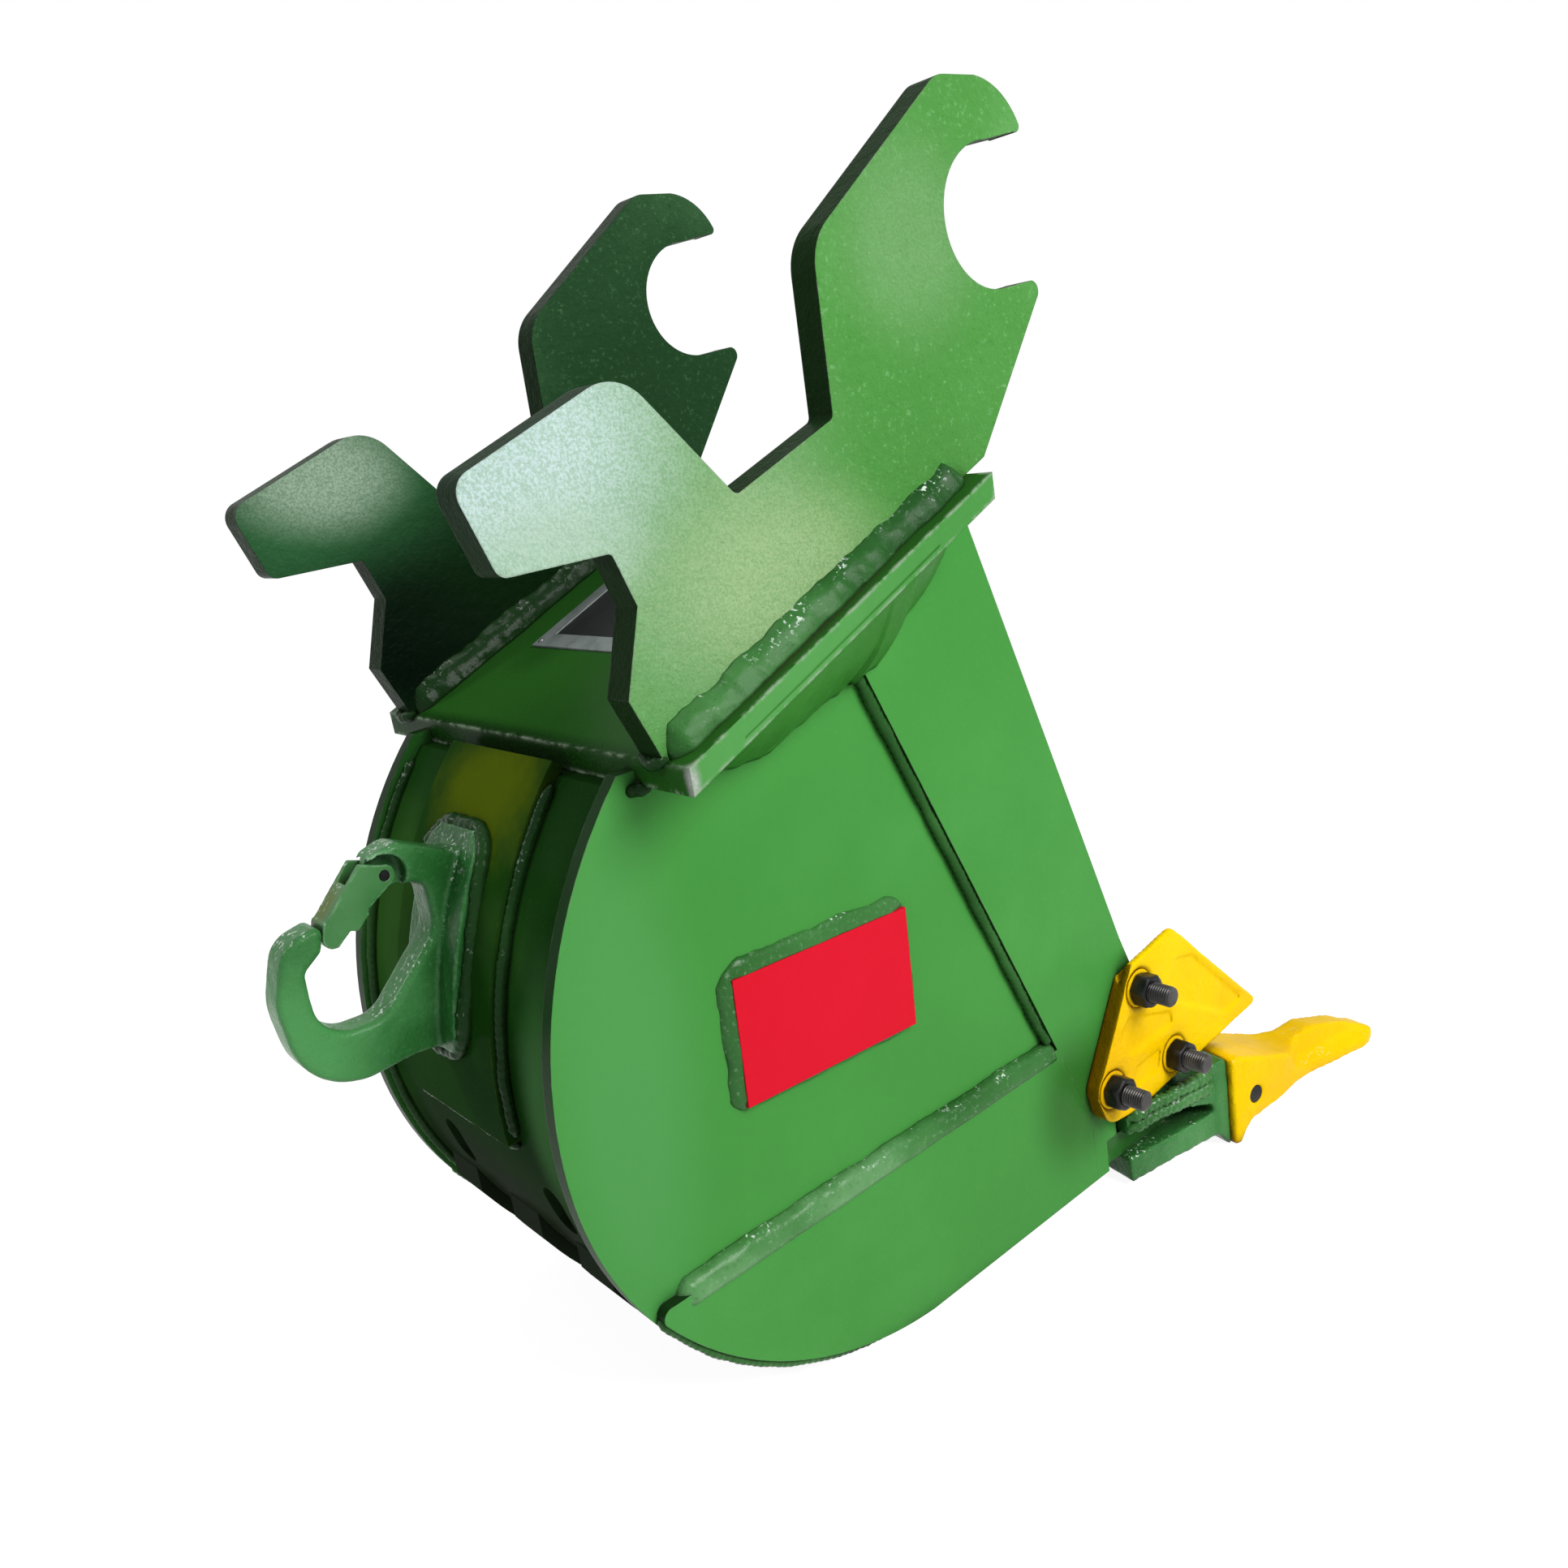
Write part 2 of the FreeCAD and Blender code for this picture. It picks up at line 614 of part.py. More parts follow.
# Lip plate: narrow between the side bars, full width in front of their tabs, bevelled on top
lip = centred_piece("lip_plate", chain(
    (size("lip_rear_x"), LIP_UNDER),
    (size("lip_front_x"), LIP_UNDER),
    (size("lip_front_x"), LIP_UNDER + size("lip_edge")),
    (size("lip_front_x") - size("lip_bevel"), LIP_TOP),
    (size("lip_rear_x"), LIP_TOP),
    (size("lip_rear_x"), LIP_UNDER)), "Sizes.bucket_width + 2 * Sizes.bar_step")
notches = []
for side in (-1, 1):
    notches += rectangle(size("lip_rear_x") - 5, side * SIDE_INNER, BAR_TAB_X, side * (BAR_OUTER + 5))
pocket(lip, sketch(lip, "XY_Plane", notches, "notches", "0"), name="tab_notches", symmetric=True)
place(lip, "lip_plate")

# Pad on the back under the lifting hook, rolled to the sheet
pad_in = PAD_OUTER - size("pad_thickness")
pad_top = size("pad_top_angle")
pad_end = size("pad_end_angle")
pad_mid = (pad_top + 180) / 2
# Below the arc centres the sheet follows the heel arc, and so does the pad
heel_in = size("heel_radius") - size("wrapper_inset")
heel_out = heel_in + size("pad_thickness")
hook_pad = centred_piece("hook_pad", chain(
    on_arc(size("back_centre_x"), pad_in, pad_top),
    ("arc", on_arc(size("back_centre_x"), pad_in, pad_mid), on_arc(size("back_centre_x"), pad_in, 180)),
    ("arc", on_arc(HEEL_X, heel_in, (180 + pad_end) / 2), on_arc(HEEL_X, heel_in, pad_end)),
    on_arc(HEEL_X, heel_out, pad_end),
    ("arc", on_arc(HEEL_X, heel_out, (180 + pad_end) / 2), on_arc(HEEL_X, heel_out, 180)),
    ("arc", on_arc(size("back_centre_x"), PAD_OUTER, pad_mid),
     on_arc(size("back_centre_x"), PAD_OUTER, pad_top)),
    on_arc(size("back_centre_x"), pad_in, pad_top)), "Sizes.pad_width")
place(hook_pad, "hook_pad")


# Forged lifting hook, welded to the pad by its curved foot
def foot_point(z):
    """Point on the pad's face at height z, above the arc centres."""
    drop = z - size("arc_z")
    return size("back_centre_x") - math.sqrt(PAD_OUTER ** 2 - drop ** 2), z


PIVOT = (size("pivot_x"), size("pivot_z"))
LATCH_AXIS = math.radians(size("latch_angle"))
LATCH_U = (math.cos(LATCH_AXIS), math.sin(LATCH_AXIS))
LATCH_N = (LATCH_U[1], -LATCH_U[0])


def latch_point(along, out):
    """Point (x, z) from latch coordinates: along the latch, out of the hook's eye."""
    return (PIVOT[0] + along * LATCH_U[0] + out * LATCH_N[0],
            PIVOT[1] + along * LATCH_U[1] + out * LATCH_N[1])


def tip_face(along):
    """Latch coordinate of the hook tip's end face, on which the closed latch bears."""
    return size("tip_out") - size("tip_slope") * (along - size("tip_along"))


foot_top = foot_point(size("foot_top_z"))
foot_end = foot_point(size("foot_end_z"))
foot_mid = foot_point((size("foot_top_z") + size("foot_end_z")) / 2)
nose = size("nose_radius")
nose_left = PIVOT[0] - nose
tip_top = latch_point(49.5, tip_face(49.5))
tip_low = latch_point(67.0, tip_face(67.0))
hook_edges = rounded(
    (foot_top[0], foot_top[1], 0),
    (-448.0, -380.0, 14),
    (-489.0, -359.5, 16),
    (nose_left, PIVOT[1] + 15, nose),
    (nose_left, PIVOT[1] - nose, 8),
    (-475.0, PIVOT[1] - nose, 12),
    (-475.0, -432.0, 26),
    (-528.0, -482.0, 24),
    (-574.0, -480.0, 27),
    (-572.5, -428.0, 9),
    (tip_low[0], tip_low[1], 5.5),
    (tip_top[0], tip_top[1], 5.5),
    (-583.0, -404.0, 24),
    (-597.5, -446.0, 50),
    (-591.0, -523.0, 50),
    (-510.0, -518.5, 26),
    (foot_end[0], foot_end[1], 0))
# The foot follows the curve of the pad
hook_edges[-1] = arc(foot_end, foot_mid, foot_top)
lifting_hook = centred_piece("lifting_hook", hook_edges, "Sizes.hook_thickness")
doc.recompute()
forged = lifting_hook.Tip
soft_edges = []
for number, edge in enumerate(forged.Shape.Edges, start=1):
    middle = edge.CenterOfMass
    on_face = abs(abs(middle.y) - size("hook_thickness") / 2) < 1e-3
    if on_face and middle.x < foot_end[0] + 2 and edge.BoundBox.XMax < PIVOT[0] + 40:
        soft_edges.append("Edge%d" % number)
forging = lifting_hook.newObject("PartDesign::Fillet", "hook_forging")
forging.Base = (forged, soft_edges)
forging.setExpression("Radius", "Sizes.hook_round")
# The nose is thinned on both sides where the latch cheeks turn
for side, offset in ((-1, "Sizes.nose_half"), (1, "-Sizes.nose_half")):
    cheek_room = sketch(lifting_hook, "XZ_Plane", circle(PIVOT[0], PIVOT[1], nose + size("cheek_room")),
                        "cheek_room_%s" % ("r" if side < 0 else "l"), offset)
    pocket(lifting_hook, cheek_room, "Sizes.hook_thickness", name="cheek_room_%d" % (side + 1),
           reverse=side < 0)
pivot_bore = sketch(lifting_hook, "XZ_Plane",
                    circle(PIVOT[0], PIVOT[1], size("latch_pin_radius") + size("tight_fit")), "pivot_bore")
pocket(lifting_hook, pivot_bore, "Sizes.hook_thickness * 2", name="bore", symmetric=True)
doc.recompute()


def foot_sector(depth):
    """Slice of the pad's outer skin over the height of the foot."""
    outer = PAD_OUTER + depth
    low = 180 + math.degrees(math.asin((size("arc_z") - size("foot_end_z")) / PAD_OUTER))
    high = 180 - math.degrees(math.asin((size("foot_top_z") - size("arc_z")) / PAD_OUTER))
    middle = (low + high) / 2
    centre = size("back_centre_x")
    return chain(on_arc(centre, PAD_OUTER, high),
                 ("arc", on_arc(centre, PAD_OUTER, middle), on_arc(centre, PAD_OUTER, low)),
                 on_arc(centre, outer, low),
                 ("arc", on_arc(centre, outer, middle), on_arc(centre, outer, high)),
                 on_arc(centre, PAD_OUTER, high))


flange = sketch(lifting_hook, "XZ_Plane", foot_sector(size("foot_thickness")), "flange")
pad(lifting_hook, flange, "Sizes.foot_width", symmetric=True, name="foot_flange")
doc.recompute()
corner_cuts = sketch(lifting_hook, "YZ_Plane", [], "corner_cuts", inside_back)
round_off = size("foot_corner")
reach = size("foot_width") / 2 + 2
for side in (-1, 1):
    for end_z, up in ((size("foot_top_z") + 4, 1), (size("foot_end_z") - 4, -1)):
        y = side * (reach - round_off)
        z = end_z - up * round_off
        turn = round_off * math.sqrt(0.5)
        corner_cuts.addGeometry(chain(
            (side * reach, z),
            ("arc", (y + side * turn, z + up * turn), (y, end_z)),
            (side * (reach + 3), end_z),
            (side * (reach + 3), z),
            (side * reach, z)), False)
pocket(lifting_hook, corner_cuts, name="foot_corners")
place(lifting_hook, "lifting_hook")


# Safety latch: two cheeks and a web, drawn along its own axis from the pivot to the hook tip
gap = size("latch_gap")
latch = centred_piece("hook_latch", chain(
    latch_point(0, -8),
    ("arc", latch_point(-8, 0), latch_point(-5, 6.3)),
    latch_point(4, 20.5),
    latch_point(27, 18),
    latch_point(48, tip_face(48) - 3),
    latch_point(51, tip_face(51) - gap),
    latch_point(60, tip_face(60) - gap),
    ("arc", latch_point(62.5, 4.0), latch_point(58.0, -3.0)),
    latch_point(44.5, -3.0),
    latch_point(42, -8),
    latch_point(28, -7.5),
    latch_point(26, -5),
    latch_point(0, -8)), "Sizes.latch_width")
# The slot leaves a web behind the front of the latch and is open round the nose
web = size("latch_web")
slot_rear = -14.0
slot_front = 43.0
slot_below = -16.0
slot_above = 26.0
web_start = 20.0
slot = chain(
    latch_point(slot_rear, slot_below),
    latch_point(slot_front, slot_below),
    latch_point(slot_front, tip_face(slot_front) - 3 - web),
    latch_point(27, 18 - web),
    latch_point(web_start, 18.8 - web),
    latch_point(web_start, slot_above),
    latch_point(slot_rear, slot_above),
    latch_point(slot_rear, slot_below))
pocket(latch, sketch(latch, "XZ_Plane", slot, "slot"),
       "Sizes.latch_width - 2 * Sizes.cheek_thickness", name="cheek_slot", symmetric=True)
latch_bore = sketch(latch, "XZ_Plane",
                    circle(PIVOT[0], PIVOT[1], size("latch_pin_radius") + size("pin_fit")), "pin_bore")
pocket(latch, latch_bore, "Sizes.latch_width * 2", name="bore", symmetric=True)
place(latch, "hook_latch")

latch_pin = centred_piece("latch_pin", circle(PIVOT[0], PIVOT[1], size("latch_pin_radius")),
                          "Sizes.latch_width + 2")
place(latch_pin, "latch_pin")

# Torsion spring on the latch pin, between the hook nose and one cheek: two turns that touch, two legs
coil = size("spring_radius")
wire = size("spring_wire") / 2
turn_step = 1.9 * wire
leg_wire = 0.96 * wire
spring_y = size("nose_half") + wire + size("spring_gap")
legs = []
for turn, angle in ((0, 65.0), (1, 200.0)):
    ring = Part.makeTorus(coil, wire, Vector(PIVOT[0], spring_y + turn * turn_step, PIVOT[1]),
                          Vector(0, 1, 0))
    lean = math.radians(angle)
    away = Vector(math.cos(lean), 0, math.sin(lean))
    tangent = Vector(-math.sin(lean), 0, math.cos(lean)) * (1 if turn else -1)
    root = Vector(PIVOT[0], spring_y + turn * turn_step, PIVOT[1]) + away * coil
    legs += [ring, Part.makeCylinder(leg_wire, size("spring_leg"), root, tangent)]
spring = legs[0].multiFuse(legs[1:]).removeSplitter()
feature_node("latch_spring", spring)


# Side cutters with their bolts; their corners are x, height over the foot of the side bar and radius
def over_foot(*corners):
    """Rounded outline of corners whose heights count from the foot of the side bar."""
    return rounded(*((x, BAR_FOOT_Z + rise, radius) for x, rise, radius in corners))


def cutter_outline():
    return over_foot((103.0, 152.0, 9), (172.0, 164.0, 8), (190.0, 148.0, 6), (219.0, 118.0, 0),
                     (313.0, 25.0, 5), (100.0, 1.0, 30), (46.0, 7.0, 26), (38.0, 47.0, 16))


# Top and front edge of the cutter, run on past both ends
CUTTER_EDGE = [(x, BAR_FOOT_Z + rise) for x, rise in (
    (60.0, 144.5), (172.0, 164.0), (190.0, 148.0), (219.0, 118.0), (340.0, -2.0))]


def beside(points, distance):
    """The same run of points moved sideways, to its left for a positive distance."""
    moved = []
    for index, (x, y) in enumerate(points):
        turns = []
        for a, b in ((index - 1, index), (index, index + 1)):
            if a >= 0 and b < len(points):
                turns.append(math.atan2(points[b][1] - points[a][1], points[b][0] - points[a][0]))
        heading = sum(turns) / len(turns)
        reach = distance / math.cos((turns[-1] - turns[0]) / 2)
        moved.append((x - reach * math.sin(heading), y + reach * math.cos(heading)))
    return moved


def hexagon(x, z, across):
    """Corner points (x, z) of a hexagon."""
    radius = across / math.sqrt(3)
    return [(x + radius * math.cos(math.radians(60 * k + 15)),
             z + radius * math.sin(math.radians(60 * k + 15))) for k in range(6)]


CUTTER_INNER_CELL = "Sizes.bucket_width / 2 + Sizes.bar_step"
SEAT_MARGIN = 1.5
for side, word in ((-1, "right"), (1, "left")):
    cutter = side_piece("side_cutter_" + word, cutter_outline(), side, CUTTER_INNER_CELL,
                        "Sizes.cutter_thickness")
    doc.recompute()
    face_offset = facing(side, CUTTER_INNER_CELL + " + Sizes.cutter_thickness")
    holes = []
    seats = []
    for x, z in BOLTS:
        holes += circle(x, z, size("bolt_radius") + size("bolt_hole_gap"))
        seats += circle(x, z, size("washer_radius") + SEAT_MARGIN)
    # A pocket cuts against the sketch's normal, which points to the right side
    pocket(cutter, sketch(cutter, "XZ_Plane", holes, "holes", face_offset), name="drilled",
           reverse=side > 0)
    doc.recompute()
    pocket(cutter, sketch(cutter, "XZ_Plane", seats, "seats", face_offset), "Sizes.cutter_seat_depth",
           name="spot_faces", reverse=side > 0)
    recess = over_foot((95.0, 103.0, 8), (160.0, 80.0, 8), (165.0, 65.0, 6), (92.0, 61.0, 5),
                       (78.0, 89.0, 8))
    recess += over_foot((141.0, 50.0, 5), (134.0, 27.0, 7), (92.0, 26.0, 6), (98.0, 47.0, 5))
    recess += over_foot((176.0, 131.0, 6), (203.0, 124.0, 4), (286.0, 40.0, 4), (253.0, 35.0, 6),
                        (146.0, 99.0, 6))
    pocket(cutter, sketch(cutter, "XZ_Plane", recess, "recess", face_offset), "Sizes.cast_depth",
           name="cast_recess", reverse=side > 0)
    doc.recompute()
    # The working edges are bevelled on their inner side
    bevel = size("cutter_bevel")
    strip = beside(CUTTER_EDGE, -bevel) + list(reversed(beside(CUTTER_EDGE, 2 * bevel + 4)))
    ground = pocket(cutter, sketch(cutter, "XZ_Plane", chain(*strip, strip[0]), "edge",
                                   facing(side, CUTTER_INNER_CELL)),
                    "Sizes.cutter_bevel", name="edge_bevel", reverse=side < 0)
    ground.TaperAngle = 45
    doc.recompute()
    place(cutter, "side_cutter_" + word)

bolt_solids = []
nut_solids = []
washer_solids = []
across = size("nut_across")
for side in (-1, 1):
    out = Vector(0, side, 0)
    seat_y = CUTTER_OUTER - size("cutter_seat_depth")
    nut_y = seat_y + size("washer_thickness")
    for x, z in BOLTS:
        head = prism([Vector(px, side * SIDE_INNER, pz) for px, pz in hexagon(x, z, across)],
                     out * -size("bolt_head_height"))
        shank_length = CUTTER_OUTER + size("bolt_reach") - SIDE_INNER
        shank = Part.makeCylinder(size("bolt_radius"), shank_length,
                                  Vector(x, side * SIDE_INNER, z), out)
        bolt_solids.append(head.fuse(shank).removeSplitter())
        bore = Part.makeCylinder(size("bolt_radius") + size("tight_fit"), size("bolt_reach") * 2,
                                 Vector(x, side * seat_y, z), out)
        washer = Part.makeCylinder(size("washer_radius"), size("washer_thickness"),
                                   Vector(x, side * seat_y, z), out)
        washer_solids.append(washer.cut(bore))
        nut = prism([Vector(px, side * nut_y, pz) for px, pz in hexagon(x, z, across)],
                    out * size("nut_height"))
        nut_solids.append(nut.cut(bore))
feature_node("cutter_bolts", Part.makeCompound(bolt_solids))
feature_node("cutter_washers", Part.makeCompound(washer_solids))
feature_node("cutter_nuts", Part.makeCompound(nut_solids))


# Tooth adapters: two legs astride the lip, a collar and a tapered nose
COLLAR_FACE = size("leg_length")
NOSE_END = COLLAR_FACE + size("nose_length")
AXIS_Z = LIP_UNDER + size("nose_axis_rise")


def adapter_body(label):
    body = new_body(label)
    top = LIP_TOP + size("upper_leg")
    low = LIP_UNDER - size("lower_leg")
    collar_rear = COLLAR_FACE - size("collar_length")
    wedge = size("lip_thickness") - size("lip_edge")
    slot_end = collar_rear - 5
    bevel_start = slot_end - size("lip_bevel") - 2
    legs = chain(
        (0, low + 3),
        ("arc", (0.9, low + 0.9), (3, low)),
        (collar_rear, low),
        (collar_rear, top),
        (0, top),
        (0, LIP_TOP),
        (bevel_start, LIP_TOP),
        (slot_end, LIP_TOP - wedge + 3),
        (slot_end, LIP_UNDER),
        (0, LIP_UNDER),
        (0, low + 3))
    pad(body, sketch(body, "XZ_Plane", legs, "legs"), "Sizes.leg_width", symmetric=True, name="leg_pad")
    doc.recompute()
    collar = rounded(
        (collar_rear - 1, low + 1, 0),
        (COLLAR_FACE - 3, low - size("collar_chin"), 2),
        (COLLAR_FACE, low - size("collar_chin"), 2),
        (COLLAR_FACE, top + size("collar_top"), 8),
        (collar_rear - 6, top + size("collar_top") - 2, 6),
        (collar_rear - 22, top, 0),
        (collar_rear - 1, top - 1, 0))
    pad(body, sketch(body, "XZ_Plane", collar, "collar"), "Sizes.collar_width", symmetric=True,
        name="collar_pad")
    doc.recompute()
    add_taper(body, "PartDesign::AdditiveLoft", 0.0)
    return body


def add_taper(body, kind, clearance):
    """The tapered nose, or the socket for it when there is a clearance."""
    sections = []
    for name, width, height, along in (
            ("root", size("nose_root_width"), size("nose_root_height"), COLLAR_FACE - clearance),
            ("end", size("nose_tip_width"), size("nose_tip_height"), NOSE_END + clearance)):
        half_w = width / 2 + clearance
        half_h = height / 2 + clearance
        edges = rectangle(-half_w, AXIS_Z - half_h, half_w, AXIS_Z + half_h)
        sections.append(sketch(body, "YZ_Plane", edges, name, str(along)))
    doc.recompute()
    taper = body.newObject(kind, body.Name + "_taper")
    taper.Profile = sections[0]
    taper.Sections = [sections[1]]
    taper.Ruled = True
    doc.recompute()
    return taper


def tooth_body(label):
    body = new_body(label)
    rear = COLLAR_FACE + size("tooth_gap")
    tip = rear + size("tooth_length")
    profile = rounded(
        (rear, AXIS_Z - 45, 0),
        (rear, AXIS_Z + 52, 4),
        (rear + 12, AXIS_Z + 52, 8),
        (rear + 100, AXIS_Z + 18, 40),
        (rear + 150, AXIS_Z + 24, 40),
        (tip - 50, AXIS_Z + 7, 60),
        (tip - 4, AXIS_Z - 17, 8),
        (tip - 8, AXIS_Z - 29, 5),
        (tip - 42, AXIS_Z - 28, 40),
        (rear + 104, AXIS_Z - 21, 60),
        (rear + 24, AXIS_Z - 26, 12),
        (rear + 7, AXIS_Z - 46, 2))
    pad(body, sketch(body, "XZ_Plane", profile, "profile"), "Sizes.tooth_width", symmetric=True)
    doc.recompute()
    wide = size("tooth_width") / 2
    slim = size("tooth_blade_width") / 2
    cut = sketch(body, "XY_Plane", [], "plan")
    for side in (-1, 1):
        edges = chain(
            (rear + 20, side * (wide + 1)),
            (rear + 40, side * (wide - 1)),
            ("arc", (rear + 88, side * (wide - 6)), (rear + 128, side * (slim + 1))),
            (tip - 44, side * slim),
            ("arc", (tip - 16, side * (slim - 4)), (tip + 1, side * (slim - 16))),
            (tip + 2, side * (wide + 1)),
            (rear + 20, side * (wide + 1)))
        cut.addGeometry(edges, False)
    pocket(body, cut, name="plan_taper", symmetric=True)
    doc.recompute()
    # A scoop on each side leaves a narrow rib on top of a wider blade
    for side, name in ((-1, "r"), (1, "l")):
        sections = []
        for number, (along, rib_top, rib_foot, flank, low) in enumerate((
                (rear + 84, wide - 1, wide, wide + 2, AXIS_Z + 2),
                (rear + 122, slim / 2 + 1, slim / 2 + 4, slim + 5, AXIS_Z - 4),
                (tip + 4, slim / 2 - 4, slim / 2 - 2, slim + 2, AXIS_Z - 12))):
            edges = chain((side * rib_top, AXIS_Z + 60), (side * rib_foot, low + 2),
                          (side * flank, low - 9), (side * (wide + 8), low - 9),
                          (side * (wide + 8), AXIS_Z + 60), (side * rib_top, AXIS_Z + 60))
            sections.append(sketch(body, "YZ_Plane", edges, "scoop_%s%d" % (name, number), str(along)))
        doc.recompute()
        scoop = body.newObject("PartDesign::SubtractiveLoft", body.Name + "_scoop_" + name)
        scoop.Profile = sections[0]
        scoop.Sections = sections[1:]
        scoop.Ruled = True
        doc.recompute()
    add_taper(body, "PartDesign::SubtractiveLoft", size("tooth_gap"))
    return body


def cross_bore(body):
    """Hole for the tooth pin through socket walls and nose."""
    along = COLLAR_FACE + size("tooth_pin_offset")
    hole = sketch(body, "XZ_Plane", circle(along, AXIS_Z,
                  size("tooth_pin_radius") + size("tooth_pin_gap")), "pin_bore")
    pocket(body, hole, "Sizes.tooth_width * 2", name="pin_hole", symmetric=True)


def seat_of(side):
    """Place of an adapter: the corner ones are turned outwards."""
    if side == 0:
        return Placement(Vector(size("corner_rear_x"), 0, 0), Rotation())
    return Placement(Vector(size("corner_rear_x"), side * size("corner_rear_y"), 0),
                     Rotation(Vector(0, 0, 1), side * size("corner_toe_out")))


pins = []
retainers = []
for side, word in ((-1, "right"), (0, "centre"), (1, "left")):
    seat = seat_of(side)
    adapter = adapter_body("adapter_" + word)
    cross_bore(adapter)
    place(adapter, "adapter_" + word, seat)
    tooth = tooth_body("tooth_" + word)
    cross_bore(tooth)
    place(tooth, "tooth_" + word, seat)
    along = COLLAR_FACE + size("tooth_pin_offset")
    pin = Part.makeCylinder(size("tooth_pin_radius"), size("tooth_width") - 4,
                            Vector(along, 2 - size("tooth_width") / 2, AXIS_Z), Vector(0, 1, 0))
    pin.Placement = seat.multiply(pin.Placement)
    pins.append(pin)
feature_node("tooth_pins", Part.makeCompound(pins))


# Blank name plates on both sides, in their weld frames
for side, word in ((-1, "right"), (1, "left")):
    local = Placement(Vector(size("plate_x"), side * SIDE_OUTER, size("plate_z")),
                      Rotation(Vector(0, 1, 0), size("plate_tilt")))
    plate = doc.addObject("Part::Box", "plate_box_" + word)
    plate.setExpression("Length", "Sizes.plate_width")
    plate.setExpression("Width", "Sizes.plate_thickness")
    plate.setExpression("Height", "Sizes.plate_height")
    corner = Vector(-size("plate_width") / 2, 0 if side > 0 else -size("plate_thickness"),
                    -size("plate_height") / 2)
    place(plate, "name_plate_" + word, local.multiply(Placement(corner, Rotation())))

frames = []
leg = size("plate_weld")
half_w = size("plate_width") / 2
half_h = size("plate_height") / 2
for side in (-1, 1):
    local = Placement(Vector(size("plate_x"), side * SIDE_OUTER, size("plate_z")),
                      Rotation(Vector(0, 1, 0), size("plate_tilt")))
    thick = size("plate_thickness")
    for x0, z0, x1, z1 in ((-half_w, half_h, half_w, half_h), (-half_w, -half_h, -half_w, half_h),
                           (half_w, -half_h, -half_w, -half_h)):
        start = Vector(x0, 0, z0)
        run = Vector(x1 - x0, 0, z1 - z0)
        outward = Vector(z0 - z1, 0, x1 - x0)
        outward.normalize()
        bead = prism([start, start + Vector(0, side * thick, 0), start + outward * leg], run)
        bead.Placement = local.multiply(bead.Placement)
        frames.append(bead)
feature_node("name_plate_welds", Part.makeCompound(frames))

# Data plate on the base plate between the ears, held by four rivets
data_x, data_z = on_base(size("data_start"))
data_seat = Placement(Vector(data_x, size("data_centre_y") - size("data_width") / 2, data_z),
                      Rotation(Vector(0, 1, 0), -size("base_tilt")))
data_plate = doc.addObject("Part::Box", "data_plate_box")
data_plate.setExpression("Length", "Sizes.data_length")
data_plate.setExpression("Width", "Sizes.data_width")
data_plate.setExpression("Height", "Sizes.data_thickness")
place(data_plate, "data_plate", data_seat)
rivets = []
inset = size("rivet_inset")
for x in (inset, size("data_length") - inset):
    for y in (inset, size("data_width") - inset):
        head = Part.makeCylinder(size("rivet_radius"), size("rivet_height"),
                                 Vector(x, y, size("data_thickness")))
        head.Placement = data_seat.multiply(head.Placement)
        rivets.append(head)
feature_node("data_plate_rivets", Part.makeCompound(rivets))

# Fillet welds along both feet of each ear
welds = []
leg = size("ear_weld")
uphill = Vector(math.cos(SLOPE), 0, math.sin(SLOPE))
foot_run = uphill * (size("base_length") - 2 * size("weld_inset"))
up = Vector(-math.sin(SLOPE), 0, math.cos(SLOPE))
for side in (-1, 1):
    for face, away in ((size("ears_outer_width") / 2, 1), (EAR_INNER, -1)):
        corner = Vector(size("base_rear_x"), side * face, size("base_rear_z"))
        start = corner + uphill * size("weld_inset")
        welds.append(prism([start, start + up * leg, start + Vector(0, side * away * leg, 0)], foot_run))
feature_node("ear_welds", Part.makeCompound(welds))

# Fillet welds behind the side bars and on top of the wear plates
welds = []
leg = size("seam_weld")
lean = math.radians(size("seam_angle"))
top_z = under_base(size("seam_top_x")) - size("seam_weld_start")
low_z = WEAR_TOP + size("seam_weld_end")
rear_x = wear_rear() + size("wear_corner") + size("wear_weld_inset")
front_x = seam(low_z) - size("wear_weld_inset")
for side in (-1, 1):
    # A millimetre of the proud edge stays bare
    step = Vector(0, side * (size("bar_step") - 1), 0)
    start = Vector(seam(top_z), side * SIDE_OUTER, top_z)
    run = Vector(seam(low_z), side * SIDE_OUTER, low_z) - start
    back = Vector(-math.cos(lean), 0, -math.sin(lean)) * leg
    welds.append(prism([start, start + step, start + back], run))
    start = Vector(rear_x, side * SIDE_OUTER, WEAR_TOP)
    welds.append(prism([start, start + step, start + Vector(0, 0, leg)], Vector(front_x - rear_x, 0, 0)))
feature_node("side_welds", Part.makeCompound(welds))

# Weld along both sides of the hook's foot
centre = Vector(size("back_centre_x"), 0, size("arc_z"))
leg = size("foot_weld")
half = size("foot_width") / 2
corner_turn = math.degrees(size("foot_corner") / PAD_OUTER)
# The bead stays below the flange's outer face
bead_height = 0.8 * leg
start_angle = math.degrees(math.asin((size("foot_top_z") - size("arc_z")) / PAD_OUTER)) - corner_turn
end_angle = math.degrees(math.asin((size("foot_end_z") - size("arc_z")) / PAD_OUTER)) + corner_turn
welds = []
for side in (-1, 1):
    points = [Vector(-PAD_OUTER, side * half, 0), Vector(-PAD_OUTER - bead_height, side * half, 0),
              Vector(-PAD_OUTER, side * (half + leg), 0)]
    face = Part.Face(Part.makePolygon(points + [points[0]]))
    face.rotate(Vector(0, 0, 0), Vector(0, 1, 0), end_angle)
    bead = face.revolve(Vector(0, 0, 0), Vector(0, 1, 0), start_angle - end_angle)
    bead.translate(centre)
    welds.append(bead)
feature_node("hook_welds", Part.makeCompound(welds))

